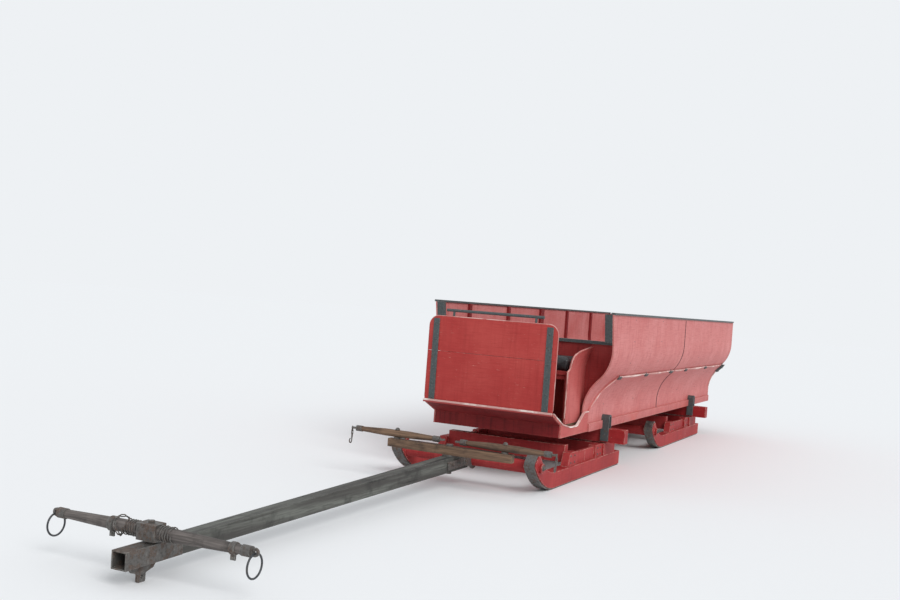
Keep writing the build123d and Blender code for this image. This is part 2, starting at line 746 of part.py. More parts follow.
lug_outline = ((-95.0, 0.0), (-70.0, -lug_flare), (-lug_half_width, -lug_root), (-lug_half_width, -lug_drop),
               (lug_half_width, -lug_drop), (lug_half_width, -lug_root), (60.0, -lug_flare), (85.0, 0.0))
lug_points = [(lug_centre + along, lug_top + up) for along, up in lug_outline]
lug_lines = FilletPolyline(*lug_points, radius=lug_bend) + Line(lug_points[0], lug_points[-1])
lug = side_face(lug_lines, -lug_thickness / 2, lug_thickness / 2)
lug -= rod(lug_centre, -lug_thickness, lug_low + lug_hole_up, lug_hole_radius, 2 * lug_thickness, "Y")
pole_add("pole_tip", tube + lug)

# Irons on both sides of the pole, each with an eye round the front bob's nose beam
for side in (-1, 1):
    y0 = side * pole_width / 2
    y1 = y0 + side * eye_thickness
    low_y, high_y = min(y0, y1), max(y0, y1)
    half = pole_iron_height / 2
    root = nose_beam_radius + eye_thickness
    iron = side_prism([(0, -root), (pole_iron_neck, -half), (pole_iron_length, -half),
                       (pole_iron_length, half), (pole_iron_neck, half), (0, root)], low_y, high_y)
    iron += rod(0, low_y, 0, eye_radius, eye_thickness, "Y")
    iron -= rod(0, low_y - fit_gap, 0, nose_beam_radius + eye_gap, eye_thickness + 2 * fit_gap, "Y")
    pole_add("pole_irons", iron)

# Evener on its pin above the pole, and singletrees on pins above its ends
pole_top = pole_height / 2
evener_low = pole_top + lift_gap
evener_high = evener_low + evener_height
evener_foot = -pole_height / 2 - evener_pin_tail
evener_pin = rod(evener_reach, 0, evener_foot, evener_pin_radius, evener_high + pin_head_height - evener_foot)
for low, radius, height in ((pole_top, evener_plate_radius, lift_gap - fit_gap),
                            (evener_high + fit_gap, evener_nut_radius, pin_head_height),
                            (evener_foot, evener_nut_radius, evener_pin_tail - fit_gap)):
    evener_pin += rod(evener_reach, 0, low, radius, height)
pole_add("evener_pin", evener_pin)
half_mid = evener_depth / 2
half_end = evener_end_depth / 2
evener_points = []
for end in (-1, 1):
    evener_points += [(end * half_mid, end * evener_middle_half), (end * half_end, end * evener_half),
                      (-end * half_end, end * evener_half), (-end * half_mid, end * evener_middle_half)]
evener_bar = extrude(make_face(Polyline(*evener_points, close=True)), evener_height)
evener_bar = Pos(evener_reach, 0, evener_low) * evener_bar
evener_bar -= rod(evener_reach, 0, evener_low, evener_pin_radius + pin_gap, evener_height)
for y in (-singletree_offset, singletree_offset):
    evener_bar -= rod(evener_reach, y, evener_low, singletree_pin_radius, evener_height)
pole_add("evener", evener_bar)
tree_low = evener_high + lift_gap
tree_z = tree_low + singletree_radius
tree_high = tree_z + singletree_radius
for y in (-singletree_offset, singletree_offset):
    pin = rod(evener_reach, y, evener_low, singletree_pin_radius, tree_high + pin_head_height - evener_low)
    pin += rod(evener_reach, y, evener_high, singletree_boss_radius, lift_gap - fit_gap)
    head = Pos(evener_reach, y, tree_high + fit_gap) * Sphere(pin_head_radius)
    pin += head & block(0, far, -far, far, tree_high + fit_gap, far)
    pole_add("evener_clips", pin)


def turned_bar(half_length, middle, end, end_length):
    """Round tapered bar along Y with straight ends."""
    outline = Polyline((0, -half_length), (end, -half_length), (end, -half_length + end_length),
                       (middle, -half_length * bar_middle_share), (middle, half_length * bar_middle_share),
                       (end, half_length - end_length), (end, half_length), (0, half_length), close=True)
    return revolve(make_face(outline), Axis.Y)


def ringed_end(side, half_length, end_radius, eye_hole, eye_outer, eye_thick):
    """Ferrule on a bar's end with a flat eye whose hole is upright."""
    y_tip = half_length
    start = y_tip - ferrule_length
    sleeve = rod(0, start, 0, end_radius + ferrule_wall, ferrule_length + ferrule_wall, "Y")
    sleeve -= rod(0, start, 0, end_radius, ferrule_length, "Y")
    eye_y = y_tip + ferrule_wall + eye_outer - eye_seat
    eye = Pos(0, eye_y, 0) * Cylinder(eye_outer, eye_thick)
    neck = eye_outer * eye_neck_share
    eye += block(-neck, neck, y_tip + ferrule_wall / 2, eye_y, -eye_thick / 2, eye_thick / 2)
    eye -= Pos(0, eye_y, 0) * Cylinder(eye_hole, eye_thick * 2)
    end_piece = sleeve + eye
    if side < 0:
        end_piece = mirror(end_piece, Plane.XZ)
    return end_piece


for side, label in ((1, "left"), (-1, "right")):
    at = Pos(evener_reach, side * singletree_offset, tree_z)
    tree = turned_bar(singletree_half, singletree_radius, singletree_end_radius, ferrule_length)
    tree -= Cylinder(singletree_pin_radius + pin_gap, 4 * singletree_radius)
    pole_add(f"singletree_{label}", at * tree)
    for end in (1, -1):
        irons = ringed_end(end, singletree_half, singletree_end_radius, trace_eye_radius, trace_eye_outer,
                           trace_eye_thickness)
        pole_add(f"singletree_{label}_irons", at * irons)

# Neck yoke on a pin over the pole's tip, with a ring hanging from each end
yoke_low = tip_size / 2 + lift_gap
yoke_z = yoke_low + yoke_clamp_size / 2
yoke_at = Pos(yoke_x, 0, yoke_z)
bar = turned_bar(yoke_half, yoke_radius, yoke_end_radius, ferrule_length)
bar -= Cylinder(yoke_pin_radius + pin_gap, 4 * yoke_radius)
pole_add("yoke_bar", yoke_at * bar)
clamp = Box(yoke_clamp_size, yoke_clamp_length, yoke_clamp_size)
clamp -= rod(0, -yoke_clamp_length, 0, yoke_radius, 2 * yoke_clamp_length, "Y")
clamp -= Cylinder(yoke_pin_radius + pin_gap, 2 * yoke_clamp_size)
pole_add("yoke_irons", yoke_at * clamp)
clamp_high = yoke_low + yoke_clamp_size
pin = rod(yoke_x, 0, bore, yoke_pin_radius, clamp_high + yoke_nut_height - bore)
pin += rod(yoke_x, 0, tip_size / 2, yoke_washer_radius, lift_gap - fit_gap)
pin += rod(yoke_x, 0, clamp_high + fit_gap, yoke_nut_radius, yoke_nut_height)
pole_add("yoke_pin", pin)
ring_z = -yoke_eye_radius + yoke_ring_wire + fit_gap - yoke_ring_radius
for end in (1, -1):
    irons = ringed_end(end, yoke_half, yoke_end_radius, yoke_eye_radius, yoke_eye_outer, yoke_eye_thickness)
    irons = Rot(0, 90, 0) * irons
    pole_add("yoke_irons", yoke_at * irons)
    eye_y = end * (yoke_half + ferrule_wall + yoke_eye_outer - eye_seat)
    ring = Pos(0, eye_y, ring_z) * Rot(90, 0, 0) * Torus(yoke_ring_radius, yoke_ring_wire)
    pole_add("yoke_rings", yoke_at * ring)

# The origin goes below the middle of the whole sleigh
every = [solid for solids in parts.values() for solid in solids]
extent = Compound(every).bounding_box()
origin_x = (extent.min.X + extent.max.X) / 2
os.makedirs("parts", exist_ok=True)
for name, solids in parts.items():
    moved = [Pos(-origin_x, 0, 0) * solid for solid in solids]
    export_step(Compound(moved), f"parts/{name}.step")
print("origin", round(origin_x, 3), "extent", extent.size, "nodes", len(parts))
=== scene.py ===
"""Finishes, small fittings, studio and camera of a horse drawn sleigh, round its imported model."""

import logging
import math
import random
from dataclasses import dataclass, replace
from enum import Enum
from functools import cache, partial
from typing import Sequence

import bmesh
import bpy
from bpy.types import ID, Material, Node, NodeSocket, NodeTree, Object
from mathutils import Matrix, Vector
from mathutils.bvhtree import BVHTree

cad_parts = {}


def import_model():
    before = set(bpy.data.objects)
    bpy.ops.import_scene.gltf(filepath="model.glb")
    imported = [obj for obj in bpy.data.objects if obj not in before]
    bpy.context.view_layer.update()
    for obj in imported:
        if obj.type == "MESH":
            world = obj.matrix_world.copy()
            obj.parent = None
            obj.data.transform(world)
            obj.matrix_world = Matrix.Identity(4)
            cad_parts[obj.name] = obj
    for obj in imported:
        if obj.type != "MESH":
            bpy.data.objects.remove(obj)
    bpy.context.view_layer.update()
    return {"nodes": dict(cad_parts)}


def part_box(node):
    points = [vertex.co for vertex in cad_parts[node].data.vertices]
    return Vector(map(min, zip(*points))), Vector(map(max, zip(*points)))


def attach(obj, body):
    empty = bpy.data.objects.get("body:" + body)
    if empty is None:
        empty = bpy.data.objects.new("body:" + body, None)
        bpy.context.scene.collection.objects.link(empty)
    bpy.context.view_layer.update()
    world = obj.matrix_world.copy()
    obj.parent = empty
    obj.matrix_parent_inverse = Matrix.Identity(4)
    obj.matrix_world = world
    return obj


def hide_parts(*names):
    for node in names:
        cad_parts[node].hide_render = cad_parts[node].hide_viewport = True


Sizes = Sequence[float]
Spot = tuple[Vector, Vector]
LOG = logging.getLogger("sleigh")
MM = 0.001
FORWARD = Vector((1, 0, 0))
UP = Vector((0, 0, 1))


class Grain(Enum):
    """Way that the wood's fibres run in a piece, as the scale of a pattern along each axis."""

    ALONG = (0.04, 1.0, 1.0)
    ACROSS = (1.0, 0.04, 1.0)


class Side(Enum):
    """Left and right of the sleigh, as the sign of Y."""

    LEFT = 1
    RIGHT = -1


def linear(code: str) -> tuple[float, float, float, float]:
    """Turn an sRGB hex colour such as "#B5413F" to linear light, with an alpha of one."""
    channels = [int(code[i:i + 2], 16) / 255 for i in (1, 3, 5)]
    return (*[c / 12.92 if c <= 0.04045 else ((c + 0.055) / 1.055) ** 2.4 for c in channels], 1.0)


def add_node(tree: NodeTree, kind: str, inputs: dict | Sequence = (), **settings) -> Node:
    """Add a node with its settings, values and links.

    Args:
        tree: Node tree that takes the node.
        kind: Blender's name of the node's type, without its leading ShaderNode.
        inputs: Values by socket name or number, or in the sockets' order. A socket or node feeds it, a node
            from its first output in use, and None leaves it alone.
        **settings: Properties of the node itself.

    Returns:
        The new node.
    """
    node = tree.nodes.new("ShaderNode" + kind)
    for key, value in settings.items():
        setattr(node, key, value)
    for socket, value in inputs.items() if isinstance(inputs, dict) else enumerate(inputs):
        if isinstance(value, Node):
            value = next(output for output in value.outputs if output.enabled)
        if isinstance(value, NodeSocket):
            tree.links.new(value, node.inputs[socket])
        elif value is not None:
            node.inputs[socket].default_value = value
    return node


class Coats:
    """Material under way: coats of colour, each laid where a pattern is strong.

    The patterns lie in the frame's metres, so each has a real size.
    """

    def __init__(self, name: str, first: str, rounding_mm: float = 0.0) -> None:
        """Start a material.

        Args:
            name: Its name.
            first: Colour of the lowest coat.
            rounding_mm: Radius of its shaded edges.
        """
        self.material = bpy.data.materials.new(name)
        self.material.use_nodes = True
        self.material.node_tree.nodes.clear()
        self.node = partial(add_node, self.material.node_tree)
        self.where = self.node("TexCoord").outputs["Object"]
        self.colour = linear(first)
        self.normal = None
        if rounding_mm:
            self.normal = self.node("Bevel", {"Radius": rounding_mm * MM}, samples=4)

    def cloud(self, size_mm: float, detail: float, stretch: Sizes = (1, 1, 1)) -> Node:
        """Add a cloudy pattern whose spots have a real size.

        Args:
            size_mm: Width of a spot.
            detail: Octaves of finer spots.
            stretch: Scale of each axis, small where spots are long.

        Returns:
            The pattern.
        """
        scaled = self.node("Mapping", {"Vector": self.where, "Scale": stretch})
        return self.node("TexNoise", {
            "Vector": scaled, "Scale": 1 / (size_mm * MM), "Detail": detail, "Roughness": 0.6})

    def cover(self, code: str, pattern: Node, low: float, high: float, share: float = 1.0,
              within: Node | None = None) -> Node:
        """Lay a coat where a pattern is strong.

        Args:
            code: The coat's colour.
            pattern: What it follows.
            low: Value at which it begins.
            high: Value at which it is full.
            share: How much a full coat hides.
            within: Mask that it keeps to.

        Returns:
            Mask of where it lies.
        """
        mask = self.node("MapRange", (pattern, low, high, 0.0, share))
        if within is not None:
            mask = self.node("Math", (mask, within), operation="MULTIPLY")
        self.colour = self.node("Mix", {0: mask, 6: self.colour, 7: linear(code)}, data_type="RGBA")
        return mask

    def rub_edges(self, code: str, reach_mm: float, share: float) -> None:
        """Bare the edges in broken stretches.

        Args:
            code: Colour of what is bared.
            reach_mm: How far in from an edge it goes.
            share: How much it takes off.
        """
        wide = self.node("Bevel", {"Radius": reach_mm * MM}, samples=4)
        true = self.node("NewGeometry").outputs["Normal"]
        flat = self.node("VectorMath", (wide, true), operation="DOT_PRODUCT")
        edge = self.node("MapRange", (flat, 0.985, 0.86))
        self.cover(code, self.cloud(26, 5), 0.42, 0.58, share, edge)

    def seal(self, sockets: dict, height: Node | None = None, depth_mm: float = 0.0,
             strength: float = 1.0) -> Material:
        """Feed the coats and their relief to a shader.

        Args:
            sockets: The shader's other inputs.
            height: Pattern of the relief, if any.
            depth_mm: The relief's depth.
            strength: How strongly it shows.

        Returns:
            The material.
        """
        normal = self.normal
        if height is not None:
            normal = self.node("Bump", {
                "Strength": strength, "Distance": depth_mm * MM, "Height": height, "Normal": normal})
        shader = self.node("BsdfPrincipled", {"Base Color": self.colour, "Normal": normal, **sockets})
        self.node("OutputMaterial", {"Surface": shader})
        return self.material


@dataclass(frozen=True)
class Finish:
    """What a surface is made of, and the record's material slot that it fills."""

    name: str
    slot: str

    def build(self) -> Material:
        """Return the finished material."""
        raise NotImplementedError


@dataclass(frozen=True)
class WeatheredPaint(Finish):
    """Oil paint brushed on plywood or timber: chalky where sun and frost faded it, rubbed through at edges.

    The eye sees a satin to matt coat with broad pale clouds, dark runs down the face, the wood's raised
    grain, short pale scuffs, and on a wall a darker foot with brighter patches and sheets that swell a
    little. Real raised grain is under a millimetre wide, and is drawn 5 to 7 mm wide so that it shows.
    """

    fresh: str
    faded: str
    streak: str
    bare: str = "#D8B3A4"
    fade: float = 0.5
    streaks: float = 0.4
    wear: float = 0.8
    grain: Grain = Grain.ALONG
    rough: float = 0.6
    sheen: float = 0.25
    ridge_mm: float = 5.0
    ridge_depth_mm: float = 0.5
    scuffs: float = 0.5
    foot_z: float = 0.0
    foot_reach: float = 0.2
    foot_share: float = 0.0
    foot_patch: str = ""
    swell_mm: float = 0.0

    @cache
    def build(self) -> Material:
        """Brush, fade and wear the paint.

        Returns:
            The finished material.
        """
        coats = Coats(self.name, self.fresh, rounding_mm=2)
        clouds = coats.cloud(380, 5)
        coats.cover(self.faded, clouds, 0.5 - self.fade * 0.25, 0.66)
        ridges = coats.cloud(self.ridge_mm, 4, self.grain.value)
        coats.cover(self.streak, ridges, 0.48, 0.72, 0.4)
        coats.cover(self.faded, ridges, 0.44, 0.3, 0.3)
        for width_mm, upright, low in ((26, 0.07, 0.52), (9, 0.035, 0.58)):
            coats.cover(self.streak, coats.cloud(width_mm, 4, (1, 1, upright)), low, low + 0.2, self.streaks)
        if self.foot_share:
            self.darken_foot(coats)
        blotch = coats.cloud(70, 6)
        coats.cover(self.faded, blotch, 0.58, 0.7, 0.5 * self.fade)
        places = coats.node("MapRange", (coats.cloud(240, 2), 0.44, 0.6))
        scratches = coats.cloud(6, 7, tuple(max(axis, 0.12) for axis in self.grain.value))
        scuffed = coats.cover(self.bare, scratches, 0.645, 0.7, self.scuffs, places)
        coats.rub_edges(self.bare, 7, self.wear)
        raised = coats.node("Math", (blotch, 0.8, ridges), operation="MULTIPLY_ADD")
        height = coats.node("Math", (scuffed, -0.8, raised), operation="MULTIPLY_ADD")
        if self.swell_mm:
            coats.normal = coats.node("Bump", {
                "Distance": self.swell_mm * MM, "Height": coats.cloud(420, 1, (1, 1, 0.7)),
                "Strength": 1.0, "Normal": coats.normal})
        matt = coats.node("MapRange", (clouds, 0.3, 0.7, self.rough - 0.12, self.rough + 0.12))
        matt = coats.node("Math", (scuffed, 0.2, matt), operation="MULTIPLY_ADD")
        return coats.seal({"Roughness": matt, "IOR": 1.48, "Specular IOR Level": self.sheen}, height,
                          self.ridge_depth_mm, 0.8)

    def darken_foot(self, coats: Coats) -> None:
        """Lay a ragged dark band at a wall's foot, with brighter patches in it.

        Args:
            coats: Paint under way.
        """
        height = coats.node("SeparateXYZ", (coats.where,)).outputs["Z"]
        ragged = coats.node("Math", (coats.cloud(120, 6), 0.16, height), operation="MULTIPLY_ADD")
        band = coats.cover(self.streak, ragged, self.foot_z + self.foot_reach, self.foot_z, self.foot_share)
        coats.cover(self.foot_patch, coats.cloud(170, 4, (0.5, 0.5, 1)), 0.5, 0.6, within=band)


@dataclass(frozen=True)
class BareTimber(Finish):
    """Sawn hardwood left to the weather: silver and brown fibres with dark checks along the grain.

    The eye sees long streaks, split lines a few millimetres wide and no gloss. Real fibres are under a
    millimetre wide, and are drawn 7 to 10 mm wide so that they show.
    """

    pale: str
    dark: str
    check: str = "#231D18"
    grain: Grain = Grain.ALONG
    fibre_mm: float = 7.0
    rough: float = 0.82

    @cache
    def build(self) -> Material:
        """Weather the timber.

        Returns:
            The finished material.
        """
        coats = Coats(self.name, self.dark, rounding_mm=3)
        coats.cover(self.pale, coats.cloud(60, 5, self.grain.value), 0.4, 0.6)
        fibres = coats.cloud(self.fibre_mm, 6, self.grain.value)
        coats.cover(self.dark, fibres, 0.44, 0.62, 0.7)
        coats.cover(self.check, coats.cloud(110, 6), 0.52, 0.66, 0.55)
        lines = coats.cloud(16, 5, tuple(axis * 0.6 for axis in self.grain.value))
        split = coats.cover(self.check, lines, 0.62, 0.68)
        coats.rub_edges(self.pale, 9, 0.7)
        height = coats.node("Math", (fibres, split), operation="SUBTRACT")
        return coats.seal({"Roughness": self.rough}, height, 1.5, 0.9)


@dataclass(frozen=True)
class WorkedIron(Finish):
    """Mild steel, hot worked or painted long ago: dark scale with rust where water sits.

    The eye sees a dull metal with brown patches, bright on rubbed edges. Real pits are a millimetre or two
    wide, and are drawn 5 mm wide so that they show.
    """

    scale: str
    rust: str
    bright: str = "#96948F"
    dirt: str = "#2E2A27"
    rusted: float = 0.4
    metallic: float = 0.55
    rough: float = 0.55
    pit_depth_mm: float = 0.8

    @cache
    def build(self) -> Material:
        """Scale, rust and rub the iron.

        Returns:
            The finished material.
        """
        coats = Coats(self.name, self.rust, rounding_mm=1.2)
        pits = coats.cloud(5, 5)
        coats.cover(self.scale, pits, 0.4, 0.62)
        patches = coats.cloud(45, 7)
        low = 0.6 - self.rusted * 0.2
        sound = coats.cover(self.scale, patches, low + 0.08, low)
        grime = coats.cloud(14, 5)
        coats.cover(self.dirt, grime, 0.5, 0.66, 0.6)
        coats.cover(self.bright, grime, 0.4, 0.3, 0.35)
        coats.rub_edges(self.bright, 4, 0.8)
        height = coats.node("Math", (pits, patches), operation="ADD")
        metallic = coats.node("MapRange", (sound, 0.0, 1.0, 0.05, self.metallic))
        matt = coats.node("MapRange", (sound, 0.0, 1.0, 0.85, self.rough))
        return coats.seal({"Metallic": metallic, "Roughness": matt}, height, self.pit_depth_mm, 0.8)


@dataclass(frozen=True)
class SeatVinyl(Finish):
    """Black vinyl cloth over foam, embossed like leather.

    The eye sees a soft sheen, grey where it is rubbed. Real embossing is about a millimetre wide, and is
    drawn 5 mm wide so that it shows.
    """

    base: str = "#1D1E20"
    rubbed: str = "#3A3B3D"

    @cache
    def build(self) -> Material:
        """Emboss and rub the vinyl.

        Returns:
            The finished material.
        """
        coats = Coats(self.name, self.base)
        worn = coats.cover(self.rubbed, coats.cloud(120, 5), 0.45, 0.7)
        cells = coats.node("TexVoronoi", {"Vector": coats.where, "Scale": 1 / (5 * MM)})
        matt = coats.node("MapRange", (worn, 0.0, 1.0, 0.42, 0.6))
        return coats.seal({"Roughness": matt}, cells, 0.5, 0.35)


@dataclass(frozen=True)
class RubbedEdging(Finish):
    """Edge of a sheet or strip with its paint rubbed to the pale ground, matt and scuffed.

    The eye sees short bright stretches and dull pink ones. A strip on the dash keeps its red below red_below,
    ahead of the plane ahead_of.
    """

    base: str = "#EBDDD6"
    stain: str = "#C4908A"
    red: str = "#9C3A38"
    dull: float = 0.8
    red_below: float = 0.0
    ahead_of: float = 0.0

    @cache
    def build(self) -> Material:
        """Rub the edging.

        Returns:
            The finished material.
        """
        coats = Coats(self.name, self.base)
        marks = coats.cloud(45, 6)
        coats.cover(self.stain, marks, 0.5, 0.72)
        coats.cover(self.stain, coats.cloud(260, 2), 0.45, 0.54, self.dull)
        if self.red_below:
            axes = coats.node("SeparateXYZ", (coats.where,))
            height = coats.node("Math", (marks, 8 * MM, axes.outputs["Z"]), operation="MULTIPLY_ADD")
            ahead = coats.node("MapRange", (axes.outputs["X"], self.ahead_of, self.ahead_of + 1 * MM))
            coats.cover(self.red, height, self.red_below + 6 * MM, self.red_below + 2 * MM, within=ahead)
        return coats.seal({"Roughness": 0.7}, marks, 0.6, 0.4)


@dataclass(frozen=True)
class JointShadeStrip(Finish):
    """Black strip in a joint between sheets, standing in as painted shade of the gap: the eye sees a cracked,
    flecked, dull line.
    """

    base: str = "#2E2322"
    fleck: str = "#6B4240"

    @cache
    def build(self) -> Material:
        """Crack and fleck the strip of painted shade.

        Returns:
            The finished material.
        """
        # Black base: painted shade of the gap between the sheets
        coats = Coats(self.name, self.base)
        lumps = coats.cloud(30, 5)
        coats.cover(self.fleck, lumps, 0.45, 0.68, 0.8)
        return coats.seal({"Roughness": 0.9}, lumps, 1.0, 0.7)


# Newest coat: deep, even red, little worn
PAINT_DASH = WeatheredPaint(
    "bright red oil paint on plywood", "bright_red_paint", "#AA3835", "#B64843", "#902B29", fade=0.4,
    streaks=0.35, wear=0.12, grain=Grain.ACROSS)
# Walls in full weather: chalky pink red, paled partly by fading and partly as painted sky reflection, with a
# dark foot
PAINT_SIDE = WeatheredPaint(
    "faded red oil paint on plywood", "faded_red_paint", "#C06562", "#D08885", "#A04643", fade=0.7,
    streaks=0.45, scuffs=1.0, ridge_depth_mm=0.3, foot_z=0.34, foot_share=0.75, foot_patch="#C25446",
    swell_mm=9)
# Sills and seat ends: pink red, partly painted sky reflection
PAINT_SILL = WeatheredPaint(
    "sill red oil paint on plywood", "faded_red_paint", "#B65350", "#C06864", "#983C3A", streaks=0.5,
    wear=0.9)
# Boards in the box's shade: red darkened as painted shade, with little fading
PAINT_SHADED = WeatheredPaint(
    "dark red oil paint on boards", "dark_red_paint", "#7E2023", "#8F3030", "#551517", bare="#A9584F",
    fade=0.3, streaks=0.7, wear=0.6, grain=Grain.ACROSS)
# Partition and seat frame: the same red, a lighter painted shade
PAINT_SHADED_INNER = replace(
    PAINT_SHADED, name="dark red oil paint on inner boards", fresh="#93302F", faded="#A3413F",
    streak="#6A1D1E", streaks=0.6, wear=0.5)
PAINT_BENCH = WeatheredPaint(
    "bench red oil paint on boards", "bench_timber", "#8E2A2B", "#9D4140", "#6E1D1F", wear=1.0, scuffs=0.8)
# Bobs: thick paint on coarse sawn hardwood, chipped at every edge
PAINT_BOB_LONG = WeatheredPaint(
    "runner red oil paint on hardwood", "bob_red_paint", "#9A2628", "#AC4241", "#6E1618", fade=0.35,
    wear=1.0, ridge_mm=7, ridge_depth_mm=1.0)
PAINT_BOB_WIDE = replace(
    PAINT_BOB_LONG, name="beam red oil paint on hardwood", fresh="#942224", faded="#A63B3B",
    streak="#681518", grain=Grain.ACROSS)
# Bare woods: the pole silvered, evener and singletrees oiled, the yoke dark with grease, the floor trodden
WOOD_POLE = BareTimber("ash pole, weathered grey", "grey_timber", "#676963", "#413F3C", "#252523")
WOOD_TREE = BareTimber(
    "hickory doubletree, oiled brown", "brown_timber", "#80654F", "#4A372C", grain=Grain.ACROSS)
WOOD_YOKE = BareTimber(
    "hickory neck yoke, dark with grease", "yoke_timber", "#6F6864", "#3F3A38", "#231F1E", Grain.ACROSS)
WOOD_FLOOR = BareTimber("spruce floor, trodden", "floor_timber", "#A08A6E", "#6E5A45", fibre_mm=10)
# Irons: straps painted grey, fittings rusted, rings black from the forge, shoes scoured by the snow
IRON_STRAP = WorkedIron(
    "strap steel, old grey paint", "dark_strap_iron", "#474F50", "#5E4C40", dirt="#353B3C", rusted=0.15,
    metallic=0.1, pit_depth_mm=0.4)
IRON_RUSTY = WorkedIron(
    "mild steel, rusted brown", "rusty_steel", "#5F5C59", "#5B463A", rusted=0.6, metallic=0.35, rough=0.5)
IRON_RING = WorkedIron(
    "forged ring, black", "rusty_steel", "#45474A", "#4C3C33", "#7A7C7F", rusted=0.3, metallic=0.6,
    rough=0.42)
IRON_SHOE = WorkedIron(
    "runner shoe steel, scoured", "shoe_steel", "#6A6967", "#5E4334", rusted=0.5, metallic=0.7, rough=0.42)
VINYL = SeatVinyl("seat vinyl, embossed", "seat_cover")
# Edges rubbed to the ground coat, the thin ones only to pink
EDGING = RubbedEdging("edging strip, rubbed", "pale_edging")
EDGING_THIN = replace(EDGING, name="arris rubbed to pink", base="#DDB9B1", stain="#B56B66")
# Black strip in the sheets' joints: painted shade of the gap
JOINT_SHADE = JointShadeStrip("joint strip, black as painted shade", "dark_strap_iron")


@dataclass
class Workshop:
    """The frame's nodes, as every sub-assembly needs them."""

    nodes: dict[str, Object]

    def dress(self, finishes: dict[Finish, str]) -> None:
        """Give CAD nodes their finishes.

        Args:
            finishes: Finish to the names of its nodes.
        """
        for finish, names in finishes.items():
            for name in names.split():
                materials = self.nodes[name].data.materials
                materials.clear()
                materials.append(finish.build())
                LOG.info("dressed %s with %s", name, finish.name)

    def surface(self, name: str) -> BVHTree:
        """Return a node's faces for finding where a line meets them."""
        data = self.nodes[name].data
        return BVHTree.FromPolygons([v.co for v in data.vertices], [tuple(p.vertices) for p in data.polygons])


def meet(faces: BVHTree, start: Sizes, towards: Sizes) -> Spot | None:
    """Return where a line first meets a form and its normal there, or None."""
    spot, normal, _, _ = faces.ray_cast(Vector(start), Vector(towards))
    return None if spot is None else (spot, normal)


def meet_from_side(faces: BVHTree, side: Side, x: float, z: float) -> Spot | None:
    """Return where a level line from one side of the sleigh first meets a form, as meet does."""
    return meet(faces, (x, side.value * 2, z), (0, -side.value, 0))


def place(name: str, data: ID) -> Object:
    """Put an object in the scene.

    Args:
        name: Its name.
        data: Its mesh, light or camera.

    Returns:
        The new object.
    """
    item = bpy.data.objects.new(name, data)
    bpy.context.scene.collection.objects.link(item)
    return item


def frame_along(direction: Vector) -> Matrix:
    """Return a turn that takes +Z to a direction."""
    return direction.to_track_quat("Z", "Y").to_matrix().to_4x4()


def steps(first: float, last: float, count: int) -> list[float]:
    """Return evenly spaced values from the first to the last."""
    return [first + (last - first) * k / (count - 1) for k in range(count)]


def circle(radius: float, sides: int, z: float = 0.0) -> list[Vector]:
    """Return the corners of a circle round the Z axis."""
    angles = [2 * math.pi * k / sides for k in range(sides)]
    return [Vector((radius * math.cos(angle), radius * math.sin(angle), z)) for angle in angles]


